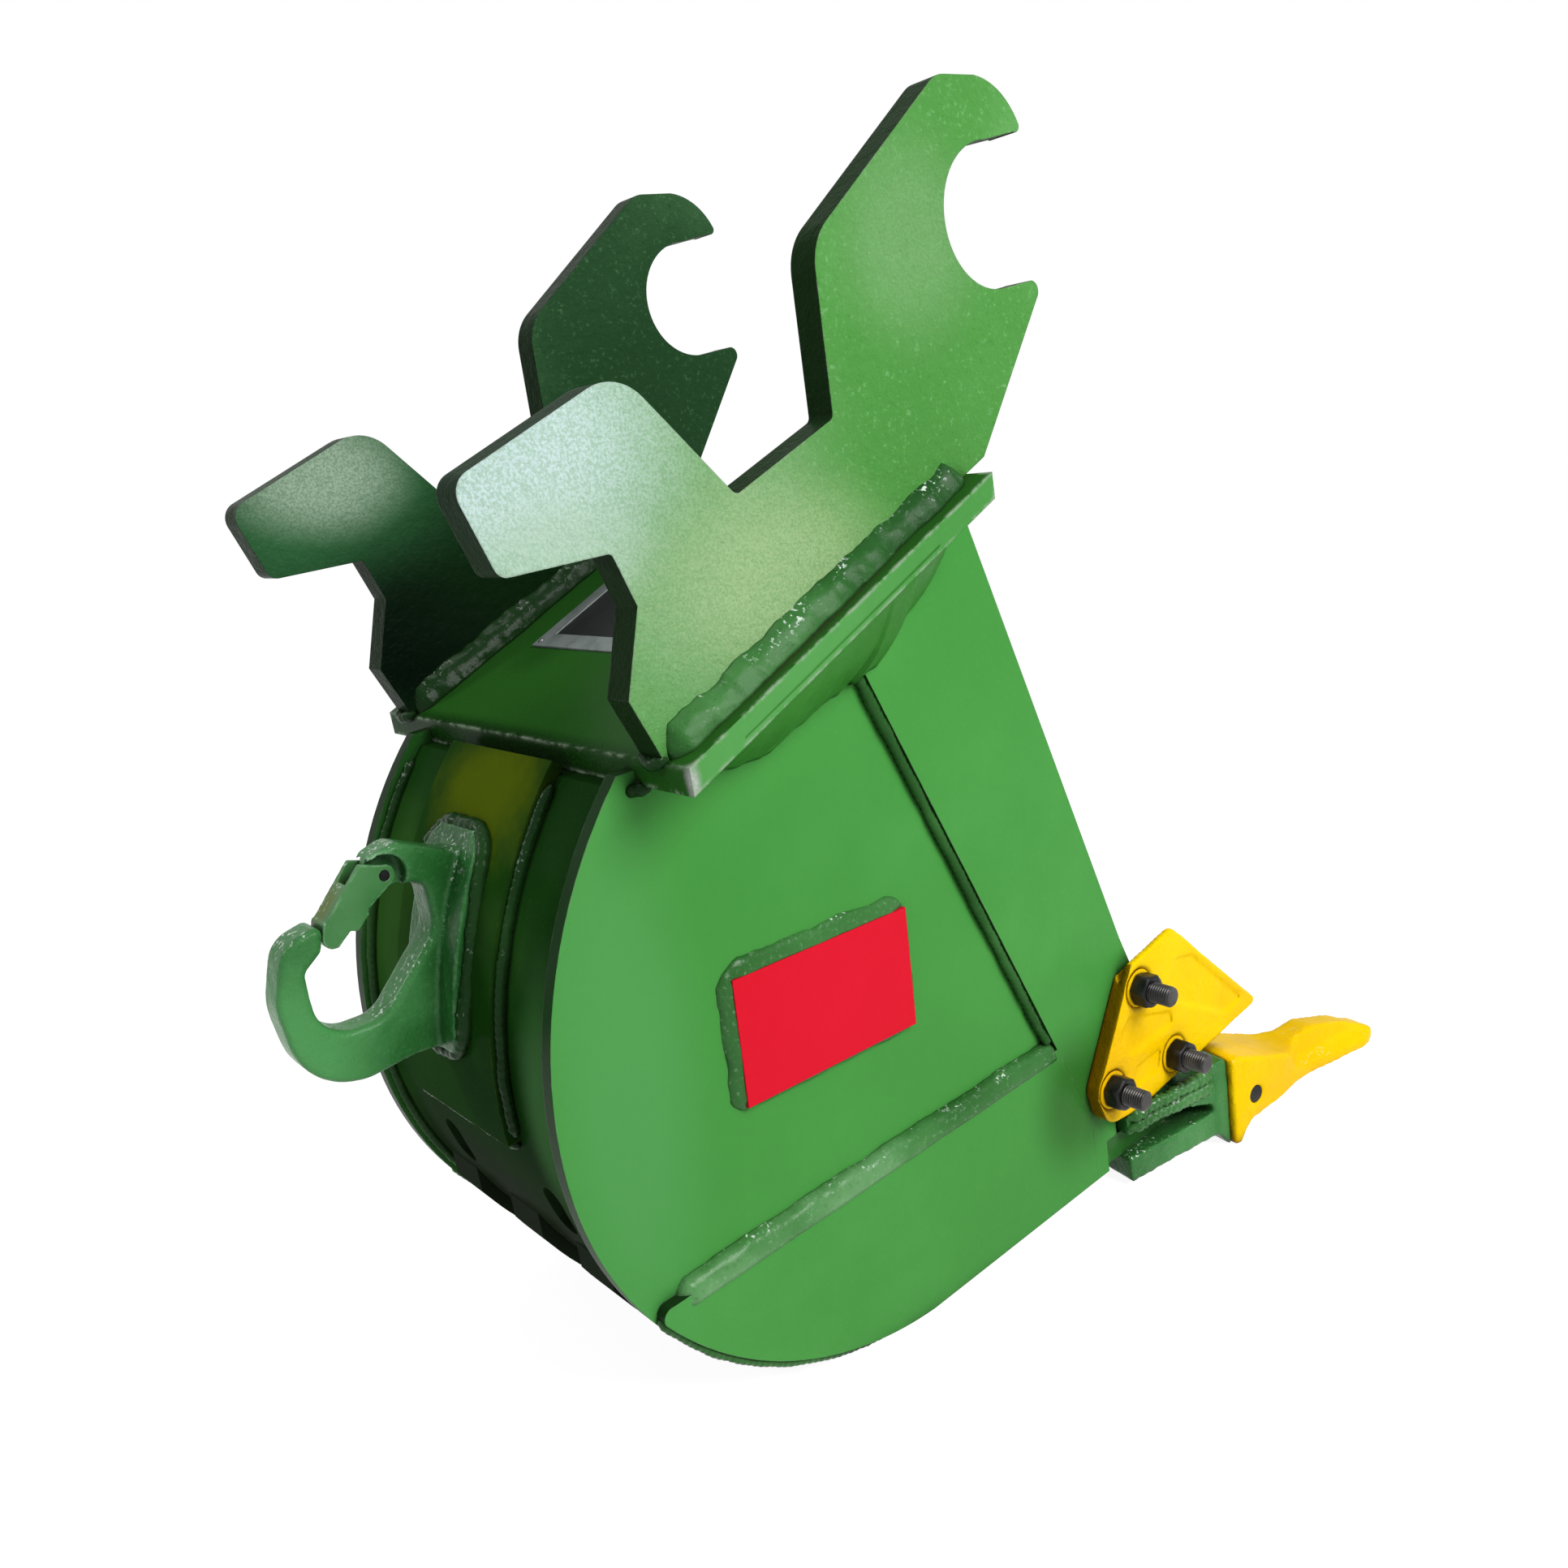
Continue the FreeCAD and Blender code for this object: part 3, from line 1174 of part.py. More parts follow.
# Weld fill under the overhanging base plate, thickest at the seam
fills = []
for side in (-1, 1):
    sections = []
    # Share of the base plate's length, and share of the fill's full leg there
    for share, leg_share in ((0.03, 0.15), (0.3, 0.8), (0.55, 1.0), (0.75, 0.7), (0.94, 0.15)):
        x = size("base_rear_x") + share * size("base_length") * math.cos(SLOPE)
        leg = size("overhang_fill") * leg_share
        corner = Vector(x, side * SIDE_OUTER, under_base(x))
        points = [corner, corner + Vector(0, side * leg, 0), corner - Vector(0, 0, leg)]
        sections.append(Part.makePolygon(points + [points[0]]))
    fill = Part.makeLoft(sections, True, True)
    fills.append(fill)
fill_node = Part.makeCompound(fills)
doc.recompute()
bars = [item.Shape for item in nodes if item.Label.startswith("side_bar")]
for bar_shape in bars:
    bare = bar_shape.copy()
    bare.Placement = STAND.inverse().multiply(bare.Placement)
    fill_node = fill_node.cut(bare)
feature_node("overhang_welds", fill_node)

doc.recompute()

# Every object and every node's solids have to be sound before anything is written
for item in doc.Objects:
    bad = [flag for flag in item.State if flag in ("Invalid", "Error")]
    if bad:
        raise RuntimeError("%s is %s" % (item.Label, bad))
os.makedirs("parts", exist_ok=True)
for item in nodes:
    shape = item.Shape
    if shape.isNull() or not shape.isValid() or not shape.Solids:
        raise RuntimeError("%s has no valid solid" % item.Label)
for item in nodes:
    item.Shape.exportStep("parts/%s.step" % item.Label)
    print("%-24s solids %d volume %.0f" % (item.Label, len(item.Shape.Solids), item.Shape.Volume))
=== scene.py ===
"""Looks of a narrow digging bucket with coupler ears, a lifting hook and cast teeth.

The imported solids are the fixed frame. Weld beads, threads and castings are meshed here, and every
surface gets its own enamel, steel or plate finish. Sizes in the tables are millimetres in the
bucket's own axes: X to the teeth, Y across, Z up from the flat bottom.
"""

import math

import bmesh
import bpy
from bpy.props import BoolProperty, FloatProperty, FloatVectorProperty, IntProperty, PointerProperty
from mathutils import Matrix, Vector
from mathutils import noise as turbulence


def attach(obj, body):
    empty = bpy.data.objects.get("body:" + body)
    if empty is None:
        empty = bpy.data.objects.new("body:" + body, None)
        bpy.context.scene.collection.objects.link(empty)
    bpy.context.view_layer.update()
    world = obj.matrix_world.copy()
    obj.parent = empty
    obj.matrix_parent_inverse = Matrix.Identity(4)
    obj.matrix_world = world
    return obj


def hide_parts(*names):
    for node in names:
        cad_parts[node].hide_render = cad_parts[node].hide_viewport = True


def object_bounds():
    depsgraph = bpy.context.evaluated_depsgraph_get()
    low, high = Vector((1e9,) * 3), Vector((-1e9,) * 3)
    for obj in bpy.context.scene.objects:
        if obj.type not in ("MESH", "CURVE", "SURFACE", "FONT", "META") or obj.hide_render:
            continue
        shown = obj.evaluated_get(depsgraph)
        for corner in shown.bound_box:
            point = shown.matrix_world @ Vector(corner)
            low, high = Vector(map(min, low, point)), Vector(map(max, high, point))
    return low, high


bl_info = {
    "name": "Digging Bucket",
    "version": (1, 0, 0),
    "blender": (4, 5, 0),
    "location": "View3D > Sidebar > Bucket",
    "description": "Weld beads, castings, threads and enamel for a narrow digging bucket",
    "category": "Object",
}

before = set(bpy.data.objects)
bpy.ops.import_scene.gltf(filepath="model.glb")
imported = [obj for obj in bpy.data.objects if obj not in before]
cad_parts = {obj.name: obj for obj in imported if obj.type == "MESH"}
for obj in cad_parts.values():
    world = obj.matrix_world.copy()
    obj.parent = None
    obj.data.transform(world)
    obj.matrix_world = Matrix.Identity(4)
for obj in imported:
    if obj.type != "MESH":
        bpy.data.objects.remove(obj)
CAD_LOW, CAD_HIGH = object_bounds()

# Sizes and places, in millimetres of the bucket's own axes
MM = 0.001
STAND_TILT = math.radians(5.0)
BASE_SLOPE = math.radians(23.3)
BASE_REAR = (-373.4, -315.2)
BASE_THICKNESS = 18.0
BASE_HALF = 228.0
SEAM_TOP_X = -188.0
SEAM_LEAN = math.radians(23.0)
ARC_Z = -570.0
BACK_X = -135.0
HEEL_X = -188.0
BACK_RADIUS = 353.0
HEEL_RADIUS = 300.0
SHELL_INSET = 10.0
SIDE_FACE = 162.5
SHELL_FACE = 150.5
BAR_FACE = 172.5
EAR_OUTER = 202.5
EAR_INNER = 177.5
EAR_WELD_ENDS = (4, 336)
WELD_STEP = 3
SLOW_SWAY = 0.03
QUICK_SWAY = 0.11
BROAD_SKIN = 0.06
FINE_SKIN = 0.2
FEET_APART = 400.0
END_STEPS = 4.0
PAD_HALF = 78.0
WEAR_TOP = -710.0
WEAR_LAP = 8.0
WEAR_REAR = -428.0
NAME_PLATE_X = -245.0
NAME_PLATE_Z = -553.0
NAME_PLATE_TILT = math.radians(3.4)
NAME_PLATE_HALF = (89.0, 51.0)
HOOK_FOOT_HALF = 43.0
HOOK_FOOT_TOP = -369.0
HOOK_FOOT_BOTTOM = -525.0
HOOK_FOOT_CORNER = 26.0
CUTTER_FACE = 188.5
BOLT_PLACES = ((113.0, -690.0), (60.0, -774.0), (160.0, -783.0))
BOLT_END = -36.9
THREAD_DEPTH = 1.35
THREAD_ROWS = 112
ADAPTER_X = 85.4
ADAPTER_Y = 154.5
ADAPTER_TURN = math.radians(10.0)
LIP_WELD_Z = -834.5
MAIN_BODY = "bucket"

# Colours that several finishes share
GREEN = (0.06, 0.29, 0.052)
GREEN_DEEP = (0.038, 0.225, 0.032)
GREEN_PALE = (0.1, 0.36, 0.09)
# Near-black green: painted shade on plate edges and other faces that turn along the bucket
EDGE_SHADE_GREEN = (0.004, 0.018, 0.003)
GLINT = (0.78, 0.88, 0.8)
GLINT_SIDE = (-0.45, -0.35, 0.82)
SPECKLE = 0.4
FINISH = {}


def place(x, y, z):
    """A point of the bucket's own axes, in metres, as it stands on its heel and teeth."""
    c, s = math.cos(STAND_TILT), math.sin(STAND_TILT)
    return Vector((c * x - s * z, y, s * x + c * z)) * MM


def under_base(x):
    """Height of the base plate's underside at x."""
    return (BASE_REAR[1] - BASE_THICKNESS / math.cos(BASE_SLOPE)
            + (x - BASE_REAR[0]) * math.tan(BASE_SLOPE))


def on_base(along, up=0.0):
    """X and Z on the base plate, along its slope from the rear end."""
    return (BASE_REAR[0] + along * math.cos(BASE_SLOPE) - up * math.sin(BASE_SLOPE),
            BASE_REAR[1] + along * math.sin(BASE_SLOPE) + up * math.cos(BASE_SLOPE))


def seam_x(z):
    """X of the seam between side plate and side bar at height z."""
    return SEAM_TOP_X + (under_base(SEAM_TOP_X) - z) * math.tan(SEAM_LEAN)


def on_side_arc(angle, inset=0.0):
    """X and Z on the side plate's back and heel outline, angle in degrees from +X."""
    turn = math.radians(angle)
    centre, radius = (BACK_X, BACK_RADIUS) if angle < 180 else (HEEL_X, HEEL_RADIUS)
    return (centre + (radius - inset) * math.cos(turn), ARC_Z + (radius - inset) * math.sin(turn))


# Node helpers
def feed(tree, socket, value):
    """Link an input to a socket, or set its value."""
    if isinstance(value, bpy.types.NodeSocket):
        tree.links.new(value, socket)
    else:
        socket.default_value = value


def tree_node(tree, kind, inputs=(), **settings):
    """A node with its settings and input values or links."""
    node = tree.nodes.new(kind)
    for key, value in settings.items():
        setattr(node, key, value)
    for key, value in dict(inputs).items():
        feed(tree, node.inputs[key], value)
    return node


def calc(tree, operation, *values, clamp=False):
    """One Math node; returns its output."""
    node = tree_node(tree, "ShaderNodeMath", dict(enumerate(values)), operation=operation, use_clamp=clamp)
    return node.outputs[0]


def times(tree, first, second, clamp=False):
    """Product of two values."""
    return calc(tree, "MULTIPLY", first, second, clamp=clamp)


def plus(tree, first, second):
    """Sum of two values."""
    return calc(tree, "ADD", first, second)


def vector_calc(tree, operation, first, second=(0.0, 0.0, 0.0)):
    """One Vector Math node; returns its vector, or the number of a dot product or length."""
    place_of_second = "Scale" if operation == "SCALE" else 1
    node = tree_node(tree, "ShaderNodeVectorMath", {0: first, place_of_second: second}, operation=operation)
    return node.outputs["Value" if operation in ("DOT_PRODUCT", "LENGTH") else "Vector"]


def blend_colour(tree, factor, first, second):
    """One colour Mix node; returns its output."""
    return tree_node(tree, "ShaderNodeMix", {0: factor, 6: first, 7: second}, data_type="RGBA").outputs[2]


def surface_normal(tree):
    """Normal output of a Geometry node."""
    return tree.nodes.new("ShaderNodeNewGeometry").outputs["Normal"]


def spread(tree, value, low, high, to_low=0.0, to_high=1.0):
    """Map Range with smooth ends; returns its output."""
    node = tree_node(tree, "ShaderNodeMapRange",
                     {0: value, 1: low, 2: high, 3: to_low, 4: to_high},
                     interpolation_type="SMOOTHSTEP")
    return node.outputs[0]


def noise(tree, vector, scale, detail=3.0, roughness=0.5):
    """Noise texture value."""
    node = tree_node(tree, "ShaderNodeTexNoise",
                     {"Vector": vector, "Scale": scale, "Detail": detail, "Roughness": roughness})
    return node.outputs["Fac"]


def new_group(name, inputs, outputs, kind="ShaderNodeTree"):
    """An empty node group with named sockets; returns the group, its inputs and its output node."""
    group = bpy.data.node_groups.new(name, kind)
    for label, socket_kind, default in inputs:
        socket = group.interface.new_socket(label, in_out="INPUT", socket_type="NodeSocket" + socket_kind)
        if default is not None:
            socket.default_value = default
    for label, socket_kind in outputs:
        group.interface.new_socket(label, in_out="OUTPUT", socket_type="NodeSocket" + socket_kind)
    source = group.nodes.new("NodeGroupInput").outputs
    result = group.nodes.new("NodeGroupOutput")
    return group, source, result


def use_group(tree, name, **inputs):
    """Outputs of a node group in a material; underscores in the names stand for spaces."""
    named = {key.replace("_", " "): value for key, value in inputs.items()}
    return tree_node(tree, "ShaderNodeGroup", named, node_tree=bpy.data.node_groups[name]).outputs


def rgba(colour):
    """A colour with full alpha."""
    return (colour[0], colour[1], colour[2], 1.0)


# Shared effects
def orange_peel():
    """Node group: sprayed skin with broad waves and runs."""
    group, source, result = new_group(
        "orange peel", [("Vector", "Vector", None), ("Peel", "Float", 1.0), ("Runs", "Float", 0.4)],
        [("Height", "Float")])
    where, peel = source["Vector"], source["Peel"]
    fine = times(group, noise(group, where, 420.0, 2.0, 0.6), peel)
    broad = times(group, noise(group, where, 95.0, 2.0), times(group, peel, 1.6))
    sag = times(group, noise(group, where, 22.0, 1.0), times(group, source["Runs"], 6.0))
    group.links.new(plus(group, plus(group, fine, broad), sag), result.inputs["Height"])


def enamel_tone():
    """Node group: clouds and flecks of a deeper and a paler tone."""
    group, source, result = new_group(
        "enamel tone",
        [("Vector", "Vector", None), ("Colour", "Color", None), ("Deep", "Color", None),
         ("Pale", "Color", None), ("Clouding", "Float", 0.3), ("Flecks", "Float", 0.16)],
        [("Colour", "Color"), ("Roughness", "Float")])
    clouds = noise(group, source["Vector"], 3.6, 4.0, 0.55)
    flecks = noise(group, source["Vector"], 240.0, 3.0, 0.7)
    toned = source["Colour"]
    for value, low, high, share, other in ((clouds, 0.62, 0.36, "Clouding", "Deep"),
                                           (clouds, 0.5, 0.72, "Clouding", "Pale"),
                                           (flecks, 0.56, 0.74, "Flecks", "Pale"),
                                           (flecks, 0.42, 0.28, "Flecks", "Deep")):
        amount = times(group, spread(group, value, low, high), source[share])
        toned = blend_colour(group, amount, toned, source[other])
    group.links.new(toned, result.inputs["Colour"])
    group.links.new(times(group, calc(group, "SUBTRACT", clouds, 0.5), 0.25), result.inputs["Roughness"])


def masks():
    """Node groups that give a mask: edge wear with painted edge light, painted shade in corners, soft patch,
    and painted glints.
    """
    # Edge mask: real wear on the plates, a painted highlight or painted shade elsewhere
    group, source, result = new_group(
        "edge wear and painted light", [("Vector", "Vector", None), ("Radius", "Float", 0.0025), ("Amount", "Float", 0.6)],
        [("Mask", "Float")])
    rounded = tree_node(group, "ShaderNodeBevel", {"Radius": source["Radius"]}, samples=6).outputs[0]
    edge = spread(group, vector_calc(group, "DOT_PRODUCT", rounded, surface_normal(group)), 0.995, 0.86)
    chips = spread(group, noise(group, source["Vector"], 70.0, 4.0, 0.65), 0.42, 0.62)
    mask = times(group, times(group, edge, chips), source["Amount"], clamp=True)
    group.links.new(mask, result.inputs["Mask"])

    # Painted shade: ambient occlusion darkens corners, creases and recesses
    group, source, result = new_group(
        "painted corner shade", [("Vector", "Vector", None), ("Reach", "Float", 0.03), ("Amount", "Float", 0.7)],
        [("Mask", "Float")])
    shut = tree_node(group, "ShaderNodeAmbientOcclusion", {"Distance": source["Reach"]}, samples=8)
    deep = spread(group, shut.outputs["AO"], 0.85, 0.25)
    uneven = spread(group, noise(group, source["Vector"], 36.0, 4.0), 0.25, 0.65, 0.55, 1.0)
    mask = times(group, times(group, deep, uneven), source["Amount"], clamp=True)
    group.links.new(mask, result.inputs["Mask"])

    group, source, result = new_group(
        "soft patch",
        [("Vector", "Vector", None), ("Centre", "Vector", None), ("Size", "Vector", None),
         ("Ragged", "Float", 0.2), ("Grain", "Float", 0.0)],
        [("Mask", "Float")])
    away = vector_calc(group, "SUBTRACT", source["Vector"], source["Centre"])
    length = vector_calc(group, "LENGTH", vector_calc(group, "DIVIDE", away, source["Size"]))
    uneven = calc(group, "SUBTRACT", noise(group, source["Vector"], 30.0, 5.0, 0.6), 0.5)
    mask = spread(group, plus(group, length, times(group, uneven, source["Ragged"])), 1.2, 0.3)
    speckle = spread(group, noise(group, source["Vector"], 520.0, 2.0, 0.7), 0.62, 0.38)
    kept = calc(group, "SUBTRACT", 1.0, times(group, speckle, source["Grain"]))
    group.links.new(times(group, mask, kept), result.inputs["Mask"])

    group, source, result = new_group(
        "paint glints", [("Vector", "Vector", None), ("Amount", "Float", 0.5)], [("Mask", "Float")])
    dots = spread(group, noise(group, source["Vector"], 280.0, 2.0, 0.6), 0.57, 0.66)
    patchy = spread(group, noise(group, source["Vector"], 40.0, 3.0), 0.46, 0.62)
    upward = vector_calc(group, "DOT_PRODUCT", surface_normal(group), GLINT_SIDE)
    lit = times(group, spread(group, upward, 0.62, 0.95), source["Amount"])
    mask = times(group, times(group, dots, patchy), lit, clamp=True)
    group.links.new(mask, result.inputs["Mask"])


def new_material(name):
    """A material with its shader and object coordinates; returns material, tree, shader, coordinates."""
    material = bpy.data.materials.new(name)
    material.use_nodes = True
    tree = material.node_tree
    shader = tree.nodes["Principled BSDF"]
    where = tree.nodes.new("ShaderNodeTexCoord").outputs["Object"]
    return material, tree, shader, where


def finish_surface(tree, shader, height, depth, edge):
    """Rounded small edges under a bump of the given depth in metres."""
    rounded = tree_node(tree, "ShaderNodeBevel", {"Radius": edge}, samples=4)
    bump_node = tree_node(tree, "ShaderNodeBump",
                          {"Height": height, "Distance": depth, "Normal": rounded.outputs[0]})
    tree.links.new(bump_node.outputs[0], shader.inputs["Normal"])


def lay_patches(tree, where, colour_out, rough_out, patches, grain=0.0):
    """Soft patches of another tone; returns the new colour and roughness."""
    for centre, size, ragged, patch_colour, share, rough_step in patches:
        mask = use_group(tree, "soft patch", Vector=where, Centre=place(*centre),
                         Size=Vector(size) * MM, Ragged=ragged, Grain=grain)["Mask"]
        colour_out = blend_colour(tree, times(tree, mask, share), colour_out, rgba(patch_colour))
        rough_out = plus(tree, rough_out, times(tree, mask, rough_step))
    return colour_out, rough_out


def enamel(name, colour, deep, pale, corner_shade_colour=(0.012, 0.02, 0.008), gloss=0.32, coat=0.1, shine=0.22,
           clouding=0.4, flecks=0.16, peel=1.0, runs=0.4, wear=0.0, edge_wear_and_light_colour=(0.28, 0.3, 0.26), corner_shade=0.7,
           patches=(), grainy=(), shade_and_wear_patches=(), edge_shade=None, shaded=None, glints=0.0, coat_rough=0.12,
           depth=0.00012, edge=0.0015, edge_wear_and_light_reach=0.0025):
    """Sprayed enamel.

    A patch is (centre, size, ragged, colour, share, roughness step) in bucket axes, and grainy ones are
    speckled; most patches are painted light or painted shade. The pair (colour, share) for surfaces that
    face along the bucket, such as plate edges, is painted shade, and these also lose the coat; shaded
    (colour, share, direction) is painted shade on those that face one way. The late patches over both
    are painted shade and one real worn spot. The corner colour is painted shade in corners and
    recesses, and the edge colour is real wear on some finishes, a painted highlight or painted shade on
    others.
    """
    material, tree, shader, where = new_material(name)
    tone = use_group(tree, "enamel tone", Vector=where, Colour=rgba(colour), Deep=rgba(deep), Pale=rgba(pale),
                     Clouding=clouding, Flecks=flecks)
    rough_out = plus(tree, tone["Roughness"], gloss)
    colour_out, rough_out = lay_patches(tree, where, tone["Colour"], rough_out, patches)
    colour_out, rough_out = lay_patches(tree, where, colour_out, rough_out, grainy, SPECKLE)
    shader.inputs["Coat Weight"].default_value = coat
    # Painted shade: faces that turn along the bucket darken towards the edge colour and lose the coat
    if edge_shade:
        across = tree_node(tree, "ShaderNodeSeparateXYZ", {0: surface_normal(tree)}).outputs["Y"]
        along = spread(tree, calc(tree, "ABSOLUTE", across), 0.75, 0.35)
        colour_out = blend_colour(tree, times(tree, along, edge_shade[1]), colour_out, rgba(edge_shade[0]))
        tree.links.new(times(tree, calc(tree, "SUBTRACT", 1.0, along), coat), shader.inputs["Coat Weight"])
    # Painted shade on faces that turn one way
    if shaded:
        side = vector_calc(tree, "DOT_PRODUCT", surface_normal(tree), Vector(shaded[2]).normalized())
        mask = times(tree, spread(tree, side, 0.3, 0.7), shaded[1])
        colour_out = blend_colour(tree, mask, colour_out, rgba(shaded[0]))
    # Late patches over the painted shade: more painted shade, and real wear
    colour_out, rough_out = lay_patches(tree, where, colour_out, rough_out, shade_and_wear_patches, SPECKLE)
    # Painted shade in corners and recesses, in the corner colour
    if corner_shade:
        mask = use_group(tree, "painted corner shade", Vector=where, Amount=corner_shade)["Mask"]
        colour_out = blend_colour(tree, mask, colour_out, rgba(corner_shade_colour))
    # Edge colour: real wear on plates and base, painted highlights on hook, latch, adapters and fill, painted
    # shade on the yellow castings
    if wear:
        mask = use_group(tree, "edge wear and painted light", Vector=where, Radius=edge_wear_and_light_reach, Amount=wear)["Mask"]
        colour_out = blend_colour(tree, mask, colour_out, rgba(edge_wear_and_light_colour))
        rough_out = plus(tree, rough_out, times(tree, mask, 0.2))
    if glints:
        mask = use_group(tree, "paint glints", Vector=where, Amount=glints)["Mask"]
        colour_out = blend_colour(tree, mask, colour_out, rgba(GLINT))
    tree.links.new(colour_out, shader.inputs["Base Color"])
    tree.links.new(calc(tree, "MAXIMUM", rough_out, 0.06), shader.inputs["Roughness"])
    shader.inputs["Specular IOR Level"].default_value = shine
    shader.inputs["Coat Roughness"].default_value = coat_rough
    height = use_group(tree, "orange peel", Vector=where, Peel=peel, Runs=runs)["Height"]
    finish_surface(tree, shader, height, depth, edge)
    return material


def metal(name, colour, tarnish, roughness=0.35, metallic=0.9, grain=300.0, edge=0.0008,
          depth=0.00006, oil=0.0, shine=0.5):
    """Bare or blackened steel, brushed and tarnished."""
    material, tree, shader, where = new_material(name)
    cloud = noise(tree, where, 55.0, 4.0, 0.6)
    mixed = blend_colour(tree, spread(tree, cloud, 0.4, 0.7), rgba(colour), rgba(tarnish))
    stretched = tree_node(tree, "ShaderNodeMapping", {"Vector": where, "Scale": (1.0, 0.08, 1.0)})
    brushed = noise(tree, stretched.outputs[0], grain, 3.0, 0.6)
    rough = plus(tree, times(tree, brushed, 0.22), roughness - 0.11)
    # Painted shade: corners and thread roots darkened nearly to black
    mask = use_group(tree, "painted corner shade", Vector=where, Reach=0.008, Amount=0.8)["Mask"]
    mixed = blend_colour(tree, mask, mixed, (0.006, 0.006, 0.006, 1.0))
    tree.links.new(mixed, shader.inputs["Base Color"])
    tree.links.new(calc(tree, "MAXIMUM", rough, 0.08), shader.inputs["Roughness"])
    shader.inputs["Metallic"].default_value = metallic
    shader.inputs["Specular IOR Level"].default_value = shine
    shader.inputs["Coat Weight"].default_value = oil
    shader.inputs["Coat Roughness"].default_value = 0.2
    finish_surface(tree, shader, brushed, depth, edge)
    return material


def build_materials(colours):
    """Every finish of the bucket, by name."""
    green = tuple(colours.green)
    yellow = tuple(colours.yellow)
    made = {}
    # Side plates: patches of painted light towards the rear, painted shade below the base plate and beside
    # the cutter
    made["side"] = enamel(
        "side plate enamel with painted light and shade", green, GREEN_DEEP, GREEN_PALE, clouding=0.3, wear=0.25, gloss=0.38, shine=0.04,
        coat=0.1, coat_rough=0.35, edge_shade=(EDGE_SHADE_GREEN, 0.92),
        patches=[((-430, -163, -540), (70, 60, 240), 0.1, (0.1, 0.34, 0.11), 0.4, 0.05),
                 ((-250, -163, -430), (150, 60, 80), 0.1, GREEN_DEEP, 0.3, 0.0),
                 ((20, -173, -770), (60, 60, 80), 0.1, (0.02, 0.1, 0.01), 0.7, 0.0)])
    # Painted shade: the far side is a darker copy of the side plates' green
    made["shaded_far_side"] = enamel(
        "far side enamel with painted shade", (0.03, 0.16, 0.025), (0.015, 0.09, 0.012), GREEN_PALE, clouding=0.4, wear=0.25,
        gloss=0.3, shine=0.04, edge_shade=(EDGE_SHADE_GREEN, 0.92))
    # Near ear: the grainy patches are painted light, the pale one on the rear claw a painted reflection
    made["lit_near_ear"] = enamel(
        "near ear enamel with painted light", (0.072, 0.27, 0.05), (0.045, 0.2, 0.03), (0.18, 0.42, 0.16), clouding=0.35,
        gloss=0.42, flecks=0.6, peel=2.4, wear=0.3, shine=0.02, coat=0.2, coat_rough=0.4, depth=0.0004,
        edge=0.002, edge_shade=(EDGE_SHADE_GREEN, 0.97),
        grainy=[((-345, -202, -150), (160, 60, 160), 0.1, (0.24, 0.4, 0.21), 0.8, 0.06),
                ((-455, -202, -98), (145, 60, 108), 0.12, (0.52, 0.66, 0.65), 0.98, 0.1),
                ((-420, -202, -175), (70, 60, 45), 0.12, (0.4, 0.55, 0.42), 0.7, 0.1),
                ((-250, -202, -225), (120, 60, 80), 0.1, (0.34, 0.48, 0.24), 0.75, 0.05),
                ((-90, -202, -10), (80, 60, 80), 0.1, (0.17, 0.34, 0.14), 0.7, 0.05)])
    # Painted shade: the far ear is a dark copy of the ear green, with painted shade patches, a lighter patch
    # and a painted highlight on the claw
    made["shaded_far_ear"] = enamel(
        "far ear enamel with painted shade", (0.014, 0.06, 0.018), (0.006, 0.035, 0.008), (0.08, 0.2, 0.08), clouding=0.4,
        flecks=0.5, peel=2.4, shine=0.02, coat=0.12, coat_rough=0.3, depth=0.0004,
        edge_shade=(EDGE_SHADE_GREEN, 0.97),
        patches=[((-390, 178, -130), (130, 60, 95), 0.12, (0.03, 0.13, 0.045), 0.85, 0.0),
                 ((-345, 178, -255), (140, 60, 110), 0.1, (0.001, 0.005, 0.002), 0.98, 0.0),
                 ((-190, 178, -200), (180, 60, 130), 0.1, (0.004, 0.02, 0.004), 0.85, 0.0)],
        grainy=[((-402, 178, -105), (80, 60, 52), 0.15, (0.34, 0.46, 0.34), 0.9, 0.1)])
    # Base plate: painted shade on its top and edges, on the rear end face and beside the near ear; the silver
    # spot at the corner is real wear
    made["base"] = enamel(
        "base plate enamel with painted shade", (0.075, 0.28, 0.065), GREEN_DEEP, GREEN_PALE, clouding=0.4, wear=1.0,
        edge_wear_and_light_colour=(0.3, 0.4, 0.28), edge_wear_and_light_reach=0.006, shine=0.04, coat=0.1, coat_rough=0.3,
        edge_shade=((0.018, 0.1, 0.01), 0.95),
        shade_and_wear_patches=[((-374, 60, -324), (14, 330, 26), 0.1, (0.002, 0.014, 0.002), 0.97, 0.0),
               ((-240, -215, -260), (150, 9, 75), 0.1, (0.03, 0.035, 0.016), 0.9, 0.1),
               ((-375, -229, -324), (10, 9, 17), 1.0, (0.5, 0.5, 0.5), 0.98, 0.25)])
    # Painted shade: the back is a dark copy of the green; the patches are painted reflections, lighter near
    # the side and grey lower down, darker grey at the bottom
    made["shell"] = enamel(
        "shell enamel with painted shade", (0.012, 0.06, 0.008), (0.006, 0.034, 0.005), (0.035, 0.12, 0.018), clouding=0.8,
        gloss=0.3, coat=0.03, coat_rough=0.2, shine=0.0, peel=0.7, runs=1.0,
        patches=[((-480, -128, -560), (60, 34, 130), 0.15, (0.05, 0.16, 0.045), 0.8, 0.0),
                 ((-430, 0, -730), (170, 400, 160), 0.15, (0.014, 0.021, 0.012), 0.95, 0.0),
                 ((-250, 0, -850), (200, 400, 60), 0.15, (0.008, 0.012, 0.007), 0.7, 0.0)])
